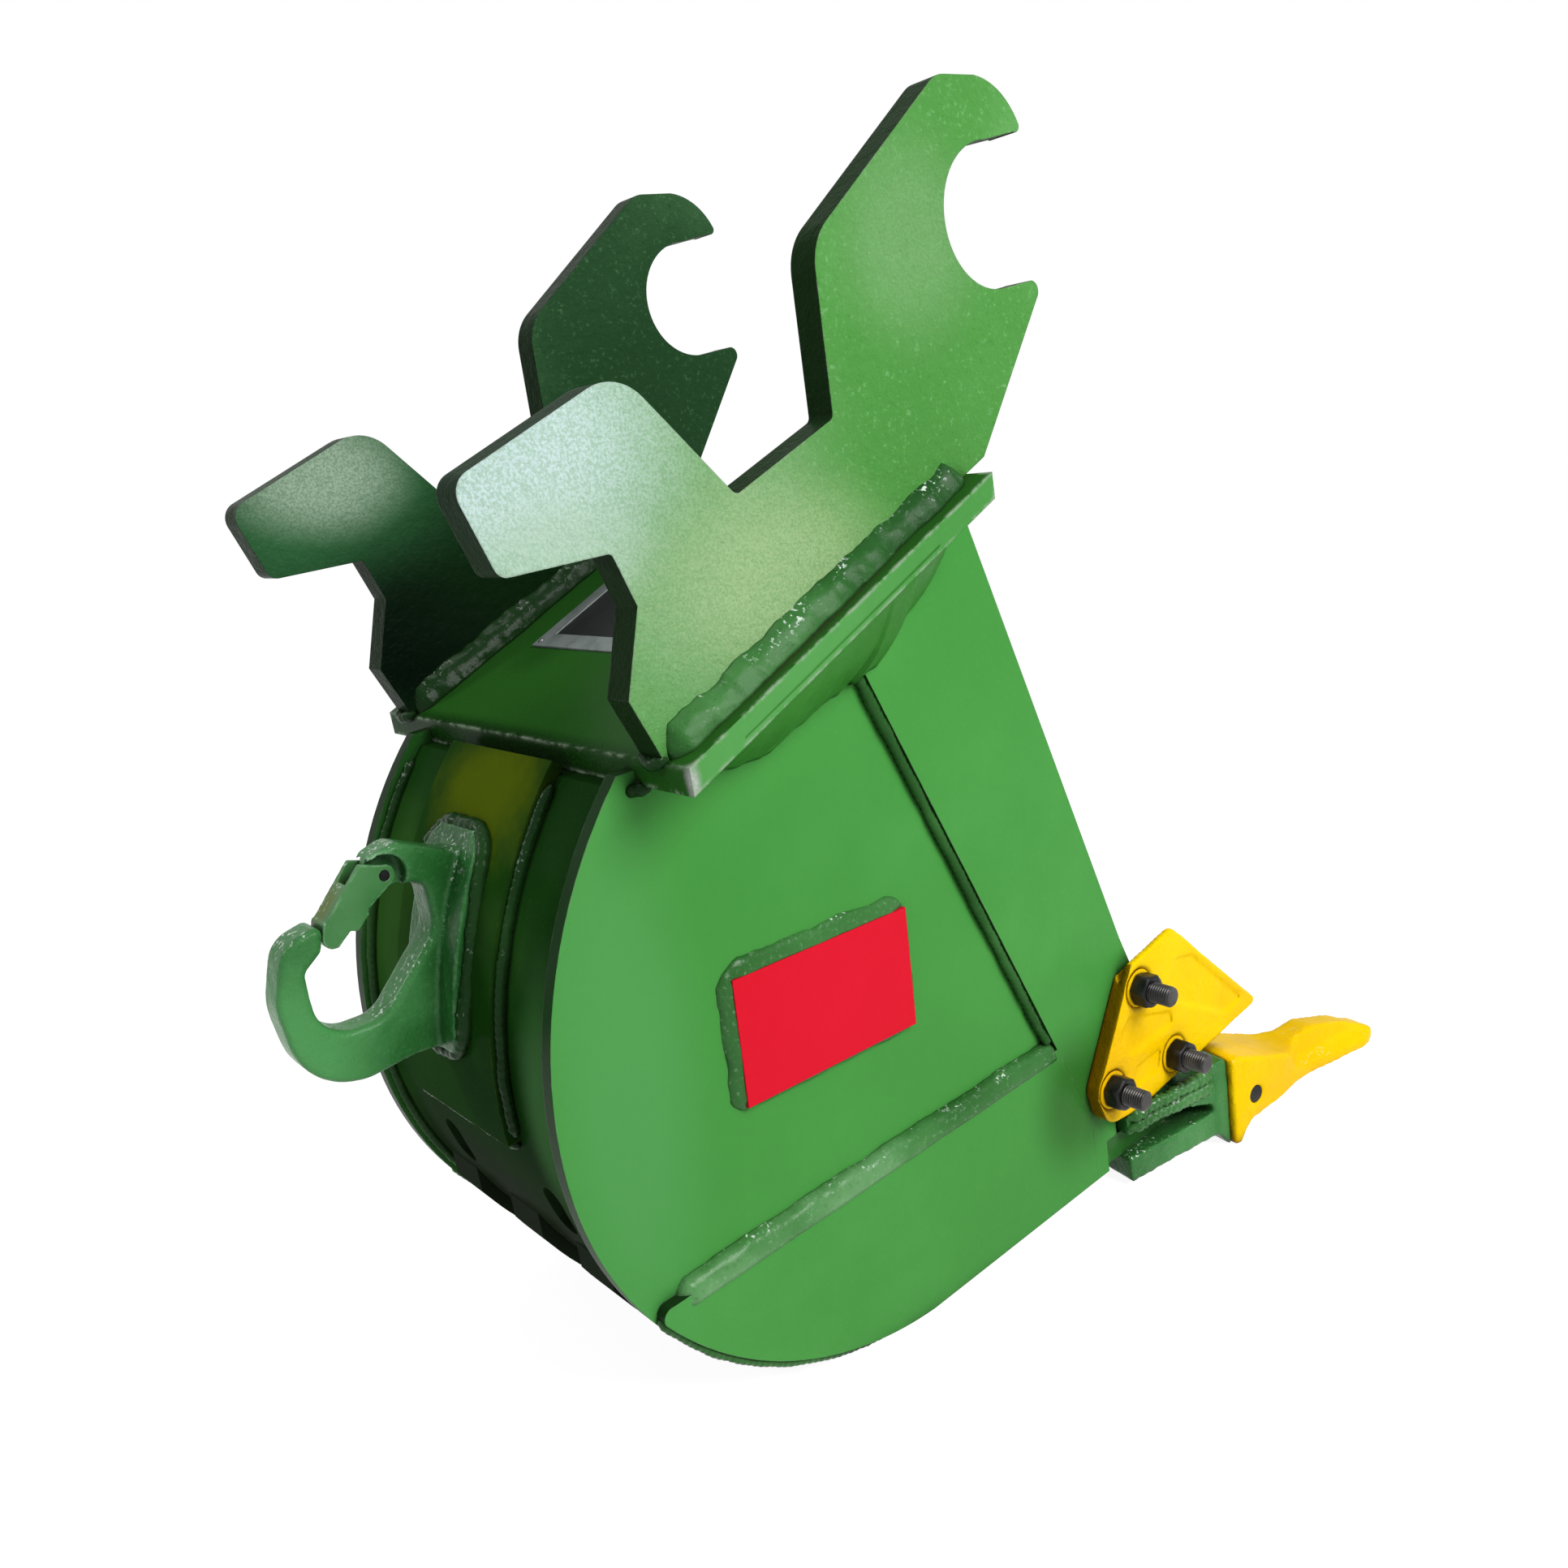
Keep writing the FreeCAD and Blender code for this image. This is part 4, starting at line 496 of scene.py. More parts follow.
    # Painted shade: the pad is a dark copy of the green like the shell; the olive patch on top is scuffing
    made["pad"] = enamel(
        "hook pad enamel with painted shade", (0.011, 0.058, 0.006), (0.005, 0.03, 0.004), (0.04, 0.11, 0.015), clouding=0.6,
        gloss=0.28, coat=0.03, coat_rough=0.2, shine=0.0, wear=0.5, edge_wear_and_light_colour=(0.08, 0.12, 0.02),
        patches=[((-398, -8, -350), (80, 84, 60), 0.8, (0.095, 0.14, 0.002), 0.95, 0.05)])
    # Painted light: lighter patches on the bow, painted highlights along the rims and painted glints
    made["forging"] = enamel(
        "hook enamel with painted highlights", (0.019, 0.125, 0.024), (0.008, 0.068, 0.011), (0.09, 0.31, 0.1), clouding=0.8,
        gloss=0.22, coat=0.1, shine=0.1, flecks=0.35, peel=1.2, runs=1.2, depth=0.0005, wear=1.0,
        edge_wear_and_light_colour=(0.3, 0.58, 0.32), edge_wear_and_light_reach=0.004, glints=0.7,
        patches=[((-600, -10, -490), (70, 40, 80), 0.3, (0.075, 0.3, 0.085), 0.9, 0.0),
                 ((-520, -10, -540), (60, 40, 26), 0.3, (0.04, 0.2, 0.045), 0.8, 0.0)])
    # Painted highlights along the latch's rims and painted glints
    made["latch"] = enamel(
        "latch enamel with painted highlights", (0.02, 0.125, 0.025), (0.008, 0.07, 0.011), (0.12, 0.33, 0.12), clouding=0.7,
        gloss=0.22, coat=0.1, shine=0.1, runs=0.8, wear=1.0, edge_wear_and_light_colour=(0.34, 0.6, 0.36),
        edge_wear_and_light_reach=0.003, glints=0.9,
        patches=[((-532, 4, -398), (26, 14, 22), 0.4, (0.12, 0.14, 0.008), 0.85, 0.08)])
    made["weld"] = enamel(
        "weld enamel", (0.021, 0.115, 0.019), (0.008, 0.055, 0.008), (0.08, 0.25, 0.07), clouding=0.8,
        gloss=0.34, coat=0.05, coat_rough=0.2, shine=0.08, flecks=0.4, peel=0.8, runs=1.4, depth=0.0004,
        corner_shade=0.8, glints=0.9)
    # Painted light: a lighter copy of the weld green with more glints, for the brightest beads
    made["glossy_lit_weld"] = enamel(
        "glossy weld enamel with painted light", (0.055, 0.225, 0.05), (0.016, 0.095, 0.014), (0.28, 0.5, 0.27), clouding=0.8,
        gloss=0.22, coat=0.12, shine=0.12, flecks=0.35, peel=0.8, runs=1.4, depth=0.0005, corner_shade=0.8,
        glints=1.0)
    # The fill's darker green is partly painted shade under the overhanging base plate
    made["fill"] = enamel(
        "weld fill enamel with painted overhang shade", (0.036, 0.2, 0.024), (0.024, 0.145, 0.016), (0.06, 0.27, 0.045), clouding=0.5,
        gloss=0.35, coat=0.0, shine=0.04, peel=0.8, runs=1.2, depth=0.0004, corner_shade=0.4, wear=0.35,
        edge_wear_and_light_colour=(0.09, 0.34, 0.08), edge_wear_and_light_reach=0.004)
    # Painted shade: a dark copy of the weld green for beads on inner faces and on the back
    made["shaded_weld"] = enamel(
        "weld enamel with painted shade", (0.008, 0.045, 0.007), (0.004, 0.022, 0.003), (0.04, 0.13, 0.03), clouding=0.6,
        gloss=0.25, coat=0.05, shine=0.06, peel=0.8, runs=1.4, depth=0.0004, corner_shade=0.6, glints=0.25)
    made["seam"] = enamel(
        "seam weld enamel", (0.02, 0.11, 0.016), (0.008, 0.055, 0.007), (0.07, 0.24, 0.06), clouding=0.6,
        gloss=0.25, coat=0.08, shine=0.08, peel=0.8, runs=1.2, depth=0.0004, corner_shade=0.9, glints=0.3)
    # Adapters: painted shade on faces along the bucket, painted highlights on edges and painted glints
    made["adapter"] = enamel(
        "adapter enamel with painted light and shade", (0.04, 0.21, 0.045), (0.02, 0.12, 0.022), (0.12, 0.36, 0.12), clouding=0.7,
        gloss=0.22, coat=0.12, shine=0.12, flecks=0.35, peel=1.4, runs=1.6, depth=0.0005, wear=0.6,
        edge_wear_and_light_colour=(0.16, 0.4, 0.16), glints=1.0, edge_shade=((0.02, 0.11, 0.018), 0.4))
    made["lip"] = enamel("lip enamel", (0.03, 0.15, 0.025), (0.016, 0.09, 0.014), GREEN_PALE, clouding=0.5,
                         gloss=0.3, coat=0.03, shine=0.06, runs=0.8, wear=0.4)
    # Painted shade: orange-brown in corners and along edges of the yellow castings
    cast = dict(colour=yellow, deep=(0.88, 0.46, 0.0), pale=(1.0, 0.72, 0.0), corner_shade_colour=(0.18, 0.065, 0.0),
                gloss=0.36, coat=0.03, shine=0.03, clouding=0.6, peel=1.5, runs=1.6, depth=0.0005, wear=0.8,
                edge_wear_and_light_colour=(0.66, 0.26, 0.0), corner_shade=1.0)
    made["yellow"] = enamel("yellow cast enamel with painted shade", glints=0.2, **cast)
    # Painted shade on the cutter's rear-facing faces
    made["cutter"] = enamel("yellow cutter enamel with painted shade", **cast,
                            shaded=((0.13, 0.075, 0.0), 0.95, (-1.0, 0.0, 0.1)))
    made["red"] = enamel(
        "red plate enamel", tuple(colours.red), (0.6, 0.003, 0.014), (0.78, 0.012, 0.035),
        corner_shade_colour=(0.12, 0.004, 0.006), gloss=0.4, coat=0.03, shine=0.05, clouding=0.35, peel=0.5, runs=0.3,
        corner_shade=0.35)
    made["black"] = metal("oiled black steel", (0.01, 0.01, 0.011), (0.03, 0.028, 0.026), roughness=0.4,
                          metallic=0.4, oil=0.08, shine=0.15, depth=0.0001)
    made["thread"] = metal("threaded black steel", (0.042, 0.04, 0.039), (0.085, 0.08, 0.075),
                           roughness=0.36, metallic=0.5, oil=0.08, shine=0.2, edge=0.0001, depth=0.00003)
    made["bright"] = metal("spring steel", (0.45, 0.46, 0.47), (0.22, 0.22, 0.22), roughness=0.3)
    made["data"] = metal("data plate sheet", (0.3, 0.34, 0.33), (0.2, 0.23, 0.22), roughness=0.36,
                         metallic=0.2, grain=500.0)
    made["data_field"] = enamel("data plate field", (0.012, 0.012, 0.014), (0.02, 0.02, 0.02),
                                (0.05, 0.05, 0.055), gloss=0.3, coat=0.3, clouding=0.4, corner_shade=0.2)
    return made


def paint(node_name, finish):
    """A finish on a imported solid."""
    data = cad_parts[node_name].data
    data.materials.clear()
    data.materials.append(FINISH[finish])


# Mesh helpers
def stand(name, data):
    """A new object in the scene for a mesh, lamp or camera."""
    obj = bpy.data.objects.new(name, data)
    bpy.context.scene.collection.objects.link(obj)
    return obj


def object_from(name, mesh):
    """A new object from a bmesh, which is freed."""
    data = bpy.data.meshes.new(name)
    mesh.to_mesh(data)
    mesh.free()
    return stand(name, data)


def settle(obj, finish, slot, *nodes, body=MAIN_BODY):
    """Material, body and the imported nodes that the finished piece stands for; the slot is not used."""
    if finish is not None:
        obj.data.materials.clear()
        obj.data.materials.append(FINISH[finish])
    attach(obj, body)
    if nodes:
        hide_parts(*nodes)
    return obj


def evaluated_copy(obj, name):
    """The object's evaluated mesh as a new object; the source is removed."""
    graph = bpy.context.evaluated_depsgraph_get()
    mesh = bpy.data.meshes.new_from_object(obj.evaluated_get(graph))
    mesh.name = name
    source = obj.data
    bpy.data.objects.remove(obj)
    bpy.data.meshes.remove(source)
    return stand(name, mesh)


def soften(name, node_name, voxel, rounds, lumps=0.0, lump_size=0.02, slim=0.0):
    """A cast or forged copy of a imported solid: rounded by remeshing, with an uneven skin."""
    gathered = bmesh.new()
    gathered.from_mesh(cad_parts[node_name].data)
    bmesh.ops.remove_doubles(gathered, verts=gathered.verts, dist=1e-6)
    obj = object_from(name + "_rough", gathered)
    remesh = obj.modifiers.new("cast", "REMESH")
    remesh.mode = "VOXEL"
    remesh.voxel_size = voxel
    remesh.use_smooth_shade = True
    smooth = obj.modifiers.new("round", "SMOOTH")
    smooth.factor = 0.5
    smooth.iterations = rounds
    if lumps:
        clouds = bpy.data.textures.new(name + "_skin", "CLOUDS")
        clouds.noise_scale = lump_size
        clouds.noise_depth = 2
        skin = obj.modifiers.new("skin", "DISPLACE")
        skin.texture = clouds
        skin.texture_coords = "LOCAL"
        skin.strength = lumps
        skin.mid_level = 0.5 + slim
    return evaluated_copy(obj, name)


def close_tree(tree, geometry, finish, result):
    """End a Geometry Nodes tree in Realize Instances and Set Material."""
    real = tree_node(tree, "GeometryNodeRealizeInstances", {"Geometry": geometry})
    dressed = tree_node(tree, "GeometryNodeSetMaterial", {"Geometry": real.outputs[0], "Material": finish})
    tree.links.new(dressed.outputs[0], result.inputs[0])


def weld_tree():
    """Geometry Nodes: a rippled bead along every spline of a curve."""
    tree, source, result = new_group(
        "rippled weld",
        [("Path", "Geometry", None), ("Bead", "Float", 0.006), ("Pitch", "Float", 0.006),
         ("Ripple", "Float", 0.16), ("Wander", "Float", 0.002), ("Lumps", "Float", 0.001),
         ("Seed", "Float", 0.0), ("Finish", "Material", None)],
        [("Result", "Geometry")], "GeometryNodeTree")
    bead = source["Bead"]
    runs = tree_node(tree, "GeometryNodeMeshToCurve", {"Mesh": source["Path"]})
    spacing = calc(tree, "DIVIDE", source["Pitch"], 5.0)
    path = tree_node(tree, "GeometryNodeResampleCurve", {"Curve": runs.outputs[0], "Length": spacing},
                     mode="LENGTH")
    here = tree.nodes.new("GeometryNodeInputPosition").outputs[0]
    seeded = vector_calc(tree, "ADD", here, source["Seed"])
    sway = tree_node(tree, "ShaderNodeTexNoise", {"Vector": seeded, "Scale": 45.0, "Detail": 1.0})
    centred = vector_calc(tree, "SUBTRACT", sway.outputs["Color"], (0.5, 0.5, 0.5))
    offset = vector_calc(tree, "SCALE", centred, source["Wander"])
    moved = tree_node(tree, "GeometryNodeSetPosition", {"Geometry": path.outputs[0], "Offset": offset})
    run = tree.nodes.new("GeometryNodeSplineParameter").outputs["Length"]
    total = tree.nodes.new("GeometryNodeSplineLength").outputs["Length"]
    wave = calc(tree, "FRACT", calc(tree, "DIVIDE", run, source["Pitch"]))
    wave = calc(tree, "SUBTRACT", 1.0, calc(tree, "POWER", wave, 1.6))
    near_end = calc(tree, "MINIMUM", run, calc(tree, "SUBTRACT", total, run))
    taper = calc(tree, "POWER", calc(tree, "DIVIDE", near_end, times(tree, bead, 1.5), clamp=True), 0.5)
    taper = calc(tree, "MAXIMUM", taper, 0.12)
    swell = tree_node(tree, "ShaderNodeTexNoise", {"Vector": seeded, "Scale": 28.0, "Detail": 2.0})
    swelling = calc(tree, "SUBTRACT", swell.outputs["Fac"], 0.5)
    scale = plus(tree, 0.85, times(tree, wave, source["Ripple"]))
    scale = plus(tree, scale, times(tree, swelling, 0.5))
    scale = times(tree, times(tree, scale, bead), taper)
    ring = tree_node(tree, "GeometryNodeCurvePrimitiveCircle", {"Resolution": 14, "Radius": 1.0})
    mesh = tree_node(tree, "GeometryNodeCurveToMesh",
                     {"Curve": moved.outputs[0], "Profile Curve": ring.outputs[0], "Scale": scale,
                      "Fill Caps": True})
    rough = tree_node(tree, "ShaderNodeTexNoise", {"Vector": seeded, "Scale": 85.0, "Detail": 3.0})
    rise = times(tree, calc(tree, "SUBTRACT", rough.outputs["Fac"], 0.5), source["Lumps"])
    normal = tree.nodes.new("GeometryNodeInputNormal").outputs[0]
    lift = vector_calc(tree, "SCALE", normal, rise)
    lumpy = tree_node(tree, "GeometryNodeSetPosition", {"Geometry": mesh.outputs[0], "Offset": lift})
    soft = tree_node(tree, "GeometryNodeSetShadeSmooth", {"Geometry": lumpy.outputs[0], "Shade Smooth": True})
    close_tree(tree, soft.outputs[0], source["Finish"], result)
    return tree


def set_inputs(modifier, tree, **values):
    """Modifier inputs by socket identifier, looked up from their names."""
    for item in tree.interface.items_tree:
        if item.item_type == "SOCKET" and item.in_out == "INPUT" and item.name in values:
            modifier[item.identifier] = values[item.name]


def hold_polylines(name, paths):
    """A mesh object of open runs of edges through points in bucket axes."""
    mesh = bpy.data.meshes.new(name)
    points = []
    edges = []
    for path in paths:
        first = len(points)
        points.extend(place(*point) for point in path)
        edges.extend((index, index + 1) for index in range(first, len(points) - 1))
    mesh.from_pydata(points, edges, [])
    return stand(name, mesh)


def weld_beads(name, paths, finish, bead=0.006, pitch=0.006, ripple=0.2, wander=0.002, lumps=0.001,
               seed=0.0):
    """One mesh of rippled beads; each path is a list of points in bucket axes, sizes are metres."""
    obj = hold_polylines(name + "_path", paths)
    tree = bpy.data.node_groups.get("rippled weld") or weld_tree()
    modifier = obj.modifiers.new("bead", "NODES")
    modifier.node_group = tree
    set_inputs(modifier, tree, Bead=bead, Pitch=pitch, Ripple=ripple, Wander=wander, Lumps=lumps, Seed=seed,
               Finish=FINISH[finish])
    return evaluated_copy(obj, name)


def joined(name, pieces):
    """Several finished meshes as one object."""
    together = bmesh.new()
    for piece in pieces:
        together.from_mesh(piece.data)
        bpy.data.objects.remove(piece)
    return object_from(name, together)


def fastener_tree():
    """Geometry Nodes: one part at every point, outward on its side, at a random spin."""
    tree, source, result = new_group(
        "fasteners on points",
        [("Points", "Geometry", None), ("Part", "Object", None), ("Seed", "Int", 0),
         ("Spin", "Float", math.pi), ("Finish", "Material", None)],
        [("Result", "Geometry")], "GeometryNodeTree")
    here = tree.nodes.new("GeometryNodeInputPosition").outputs[0]
    across = tree_node(tree, "ShaderNodeSeparateXYZ", {0: here}).outputs["Y"]
    about = times(tree, calc(tree, "GREATER_THAN", across, 0.0), math.pi)
    spin = tree_node(tree, "FunctionNodeRandomValue", {"Seed": source["Seed"]}, data_type="FLOAT")
    turn = times(tree, spin.outputs[1], source["Spin"])
    angles = tree_node(tree, "ShaderNodeCombineXYZ", {"Y": turn, "Z": about})
    part = tree_node(tree, "GeometryNodeObjectInfo", {"Object": source["Part"]})
    points = tree_node(tree, "GeometryNodeMeshToPoints", {"Mesh": source["Points"]})
    copies = tree_node(tree, "GeometryNodeInstanceOnPoints",
                       {"Points": points.outputs[0], "Instance": part.outputs["Geometry"],
                        "Rotation": angles.outputs[0]})
    close_tree(tree, copies.outputs[0], source["Finish"], result)
    return tree


def close_rows(mesh, rows):
    """Skin between equal rings of vertices, with both ends closed; returns the two end faces."""
    count = len(rows[0])
    for low, high in zip(rows, rows[1:]):
        for index in range(count):
            after = (index + 1) % count
            mesh.faces.new((low[index], low[after], high[after], high[index]))
    return mesh.faces.new(rows[0]), mesh.faces.new(rows[-1])


def finished_mesh(name, mesh):
    """A new object from a bmesh, with its faces outward and its flat ends sharp."""
    bmesh.ops.recalc_face_normals(mesh, faces=mesh.faces)
    for face in mesh.faces:
        face.smooth = len(face.verts) == 4
    return object_from(name, mesh)


def weld_fillets(name, runs, lumps=0.6, sway=(0.12, 0.12), bulge=0.2, seed=0.0, turns=10):
    """One mesh of built-up welds with wandering feet and an uneven skin.

    A run is a list of (corner, leg, other leg) in bucket axes: the hidden corner of the joint and the
    weld's two reaches from it. The sway is each foot's share of wandering.
    """
    mesh = bmesh.new()
    for number, run in enumerate(runs):
        shift = Vector((seed, 7.0 * number, 3.0))
        rows = []
        for step, legs in enumerate(run):
            corner, first, second = (Vector(part) for part in legs)
            near_end = min(step, len(run) - 1 - step)
            taper = min(1.0, math.sqrt((near_end + 0.15) / END_STEPS))
            reach = []
            for index in (0, 1):
                spot = corner + Vector((0.0, 0.0, FEET_APART * index))
                slow = turbulence.noise(spot * SLOW_SWAY + shift)
                quick = turbulence.noise(spot * QUICK_SWAY + shift)
                reach.append(taper * (1.0 + sway[index] * (slow + 0.45 * quick)))
            row = [mesh.verts.new(place(*corner))]
            for turn in range(turns + 1):
                share = turn / turns
                arch = bulge * math.sin(math.pi * share)
                point = first * reach[0] * (1.0 - share + arch) + second * reach[1] * (share + arch)
                here = corner + point
                broad = turbulence.noise(here * BROAD_SKIN + shift)
                fine = turbulence.noise(here * FINE_SKIN + shift)
                rise = (broad + 0.7 * fine) * lumps * taper * math.sin(math.pi * share) ** 0.5
                row.append(mesh.verts.new(place(*(here + point.normalized() * rise))))
            rows.append(row)
        close_rows(mesh, rows)
    return finished_mesh(name, mesh)


def lathe(name, rows, sides):
    """A closed mesh of revolution along -Y; rows are functions of the angle that give (radius, y)."""
    mesh = bmesh.new()
    rings = []
    for row in rows:
        ring = []
        for index in range(sides):
            angle = 2 * math.pi * index / sides
            radius, y = row(angle)
            ring.append(mesh.verts.new(Vector((radius * math.cos(angle), y, radius * math.sin(angle))) * MM))
        rings.append(ring)
    close_rows(mesh, rings)
    return finished_mesh(name, mesh)


def ring_row(radius, y):
    """A plain round row of a lathe."""
    return lambda angle: (radius, y)


def hexagon_row(across, limit, y):
    """A six-sided row, cut back to a circle of radius limit for the chamfer."""
    def row(angle):
        flat = across / 2 / math.cos((angle % (math.pi / 3)) - math.pi / 6)
        return min(flat, limit), y
    return row


def thread_row(radius, depth, pitch, y):
    """A row of a screw thread: the crest climbs once round per pitch."""
    def row(angle):
        phase = (y / pitch + angle / (2 * math.pi)) % 1.0
        return radius - depth * (1.0 - abs(2.0 * phase - 1.0)), y
    return row


def stand_copies(name, template, points, finish, seed):
    """Copies of a template at points in bucket axes, as one mesh; the template is removed."""
    obj = hold_polylines(name + "_points", [[point] for point in points])
    tree = bpy.data.node_groups.get("fasteners on points") or fastener_tree()
    modifier = obj.modifiers.new("copies", "NODES")
    modifier.node_group = tree
    set_inputs(modifier, tree, Part=template, Seed=seed, Spin=math.pi, Finish=FINISH[finish])
    made = evaluated_copy(obj, name)
    bpy.data.objects.remove(template)
    return made


# Settings
class BucketColours(bpy.types.PropertyGroup):
    """Enamel colours."""
    green: FloatVectorProperty(name="Green enamel", description="Plates of the bucket", subtype="COLOR",
                               size=3, min=0.0, max=1.0, default=GREEN)
    yellow: FloatVectorProperty(name="Yellow enamel", description="Teeth and side cutters", subtype="COLOR",
                                size=3, min=0.0, max=1.0, default=(0.98, 0.655, 0.0))
    red: FloatVectorProperty(name="Red enamel", description="Blank name plates", subtype="COLOR",
                             size=3, min=0.0, max=1.0, default=(0.7, 0.006, 0.026))


class BucketWelds(bpy.types.PropertyGroup):
    """Sizes of the weld beads."""
    ear_rise: FloatProperty(name="Ear weld rise", description="Reach of the weld up an ear", unit="LENGTH",
                            default=0.021, min=0.008, max=0.04)
    ear_reach: FloatProperty(name="Ear weld reach", description="Reach of the weld on the base plate",
                             unit="LENGTH", default=0.0145, min=0.006, max=0.024)
    wear_rise: FloatProperty(name="Wear plate weld rise", description="Reach of the weld up the side",
                             unit="LENGTH", default=0.0185, min=0.008, max=0.04)
    seam_bead: FloatProperty(name="Seam bead", description="Radius of the beads on the sides",
                             unit="LENGTH", default=0.0055, min=0.002, max=0.01)
    pitch: FloatProperty(name="Ripple pitch", description="From ripple to ripple along a bead",
                         unit="LENGTH", default=0.0065, min=0.002, max=0.015)
    ripple: FloatProperty(name="Ripple height", description="Share of the bead's radius",
                          subtype="FACTOR", default=0.12, min=0.0, max=0.6)


class BucketCastings(bpy.types.PropertyGroup):
    """How the cast and forged pieces are rounded."""
    hook_grid: FloatProperty(name="Hook grid", description="Mesh size on the hook", unit="LENGTH",
                             default=0.0013, min=0.0008, max=0.004)
    cast_grid: FloatProperty(name="Casting grid", description="Mesh size on teeth and adapters",
                             unit="LENGTH", default=0.0022, min=0.001, max=0.005)
    cutter_grid: FloatProperty(name="Cutter grid", description="Mesh size on the side cutters",
                               unit="LENGTH", default=0.0017, min=0.001, max=0.004)
    lumps: FloatProperty(name="Casting skin", description="Height of the uneven cast skin", unit="LENGTH",
                         default=0.0016, min=0.0, max=0.004)


class BucketFastenings(bpy.types.PropertyGroup):
    """Sizes of the cutter bolts."""
    across_flats: FloatProperty(name="Across flats", description="Nuts and heads", unit="LENGTH",
                                default=0.03, min=0.01, max=0.06)
    bolt_radius: FloatProperty(name="Bolt radius", description="Thread crest", unit="LENGTH",
                               default=0.01, min=0.004, max=0.02)
    thread_pitch: FloatProperty(name="Thread pitch", description="Along the bolt", unit="LENGTH",
                                default=0.0025, min=0.0005, max=0.006)
    seed: IntProperty(name="Seed", description="Random turn of the nuts", default=4, min=0)


class BucketStudio(bpy.types.PropertyGroup):
    """Light and floor."""
    key_power: FloatProperty(name="Key light", description="Large lamp on the near side", unit="POWER",
                             default=100.0, min=0.0)
    fill: FloatProperty(name="Fill", description="Even light from all round", default=0.26, min=0.0, max=2.0)
    glint_power: FloatProperty(name="Glint light", description="Small lamp behind the hook", unit="POWER",
                               default=8.0, min=0.0)
    show_floor: BoolProperty(name="Floor", description="Pale floor under the bucket", default=True)


# Pieces
class BUCKET_OT_painted_plates(bpy.types.Operator):
    """Give every packed plate its enamel"""
    bl_idname = "bucket.painted_plates"
    bl_label = "Painted plates"

    def execute(self, context):
        orange_peel()
        enamel_tone()
        masks()
        FINISH.update(build_materials(context.scene.bucket_colours))
        for word, finish in (("right", "side"), ("left", "shaded_far_side")):
            paint("side_plate_" + word, finish)
            paint("side_bar_" + word, finish)
            paint("side_wear_plate_" + word, finish)
        for node_name, finish in (("ear_right", "lit_near_ear"), ("ear_left", "shaded_far_ear"), ("base_plate", "base"),
                                  ("wrapper", "shell"), ("hook_pad", "pad"), ("lip_plate", "lip"),
                                  ("heel_wear_strips", "shell"), ("latch_pin", "black"),
                                  ("latch_spring", "bright"), ("tooth_pins", "black"),
                                  ("name_plate_right", "red"), ("name_plate_left", "red")):
            paint(node_name, finish)
        return {"FINISHED"}


class BUCKET_OT_ear_welds(bpy.types.Operator):
    """Weld each ear to the base plate with one run on each face"""
    bl_idname = "bucket.ear_welds"
    bl_label = "Ear welds"

    def execute(self, context):
        welds = context.scene.bucket_welds
        rise = Vector((-math.sin(BASE_SLOPE), 0.0, math.cos(BASE_SLOPE))) * welds.ear_rise / MM

        def run(face, away):
            stations = []
            for along in range(*EAR_WELD_ENDS, WELD_STEP):
                x, z = on_base(along, -1.0)
                stations.append(((x, face - away, z), rise, (0.0, away * welds.ear_reach / MM, 0.0)))
            return stations

        skin = dict(lumps=1.0, sway=(0.2, 0.2), bulge=0.12)
        outer = weld_fillets("outer_ear_welds", [run(-EAR_OUTER, -1), run(EAR_OUTER, 1)], seed=3.0, **skin)
        settle(outer, "weld", "green_paint", "ear_welds")
        inner = weld_fillets("inner_ear_welds", [run(-EAR_INNER, 1), run(EAR_INNER, -1)], seed=8.0, **skin)
        settle(inner, "shaded_weld", "green_paint")
        return {"FINISHED"}


class BUCKET_OT_side_welds(bpy.types.Operator):
    """Weld the side bars and the wear plates to the sides"""
    bl_idname = "bucket.side_welds"
    bl_label = "Side welds"
    SEAM_SHIFT = 2.5
    SEAM_RISE = 3.5
    SEAM_STEP = 12
    SEAM_START = 30.0
    HEEL_ANGLES = range(210, 268, 3)
    HEEL_INSET = 3.0
    WEAR_OUT = 3.2

    def execute(self, context):
        welds = context.scene.bucket_welds
        skin = dict(pitch=welds.pitch, ripple=welds.ripple, wander=0.002, lumps=0.0012)
        made = []
        tops = []
        seam_top = under_base(SEAM_TOP_X) - self.SEAM_START
        weld_end = seam_x(WEAR_TOP) + 6.0
        steps = int((weld_end - WEAR_REAR) / WELD_STEP)
        for side in (-1, 1):
            heights = [seam_top - step for step in range(0, int(seam_top - WEAR_TOP), self.SEAM_STEP)]
            seam = [(seam_x(z) - self.SEAM_SHIFT, side * (SIDE_FACE + self.SEAM_RISE), z) for z in heights]
            made.append(weld_beads("seam_run", [seam], "seam", bead=welds.seam_bead, seed=side, **skin))
            tops.append([((WEAR_REAR + (weld_end - WEAR_REAR) * step / steps, side * (SIDE_FACE - 1.0),
                           WEAR_TOP - WEAR_LAP),
                          (0.0, 0.0, welds.wear_rise / MM),
                          (0.0, side * (BAR_FACE - SIDE_FACE + self.WEAR_OUT), 0.0))
                         for step in range(steps + 1)])
            heel = [(x, side * (SIDE_FACE + 4.0), z)
                    for x, z in [on_side_arc(angle, self.HEEL_INSET) for angle in self.HEEL_ANGLES]]
            made.append(weld_beads("heel_run", [heel], "seam", bead=welds.seam_bead * 0.8, seed=9 + side,
                                   **skin))
        settle(joined("side_weld_runs", made), "seam", "green_paint", "side_welds")
        top = weld_fillets("wear_plate_welds", tops, sway=(0.12, 0.04), bulge=0.22, seed=5.0)
        settle(top, "glossy_lit_weld", "green_paint")
        return {"FINISHED"}


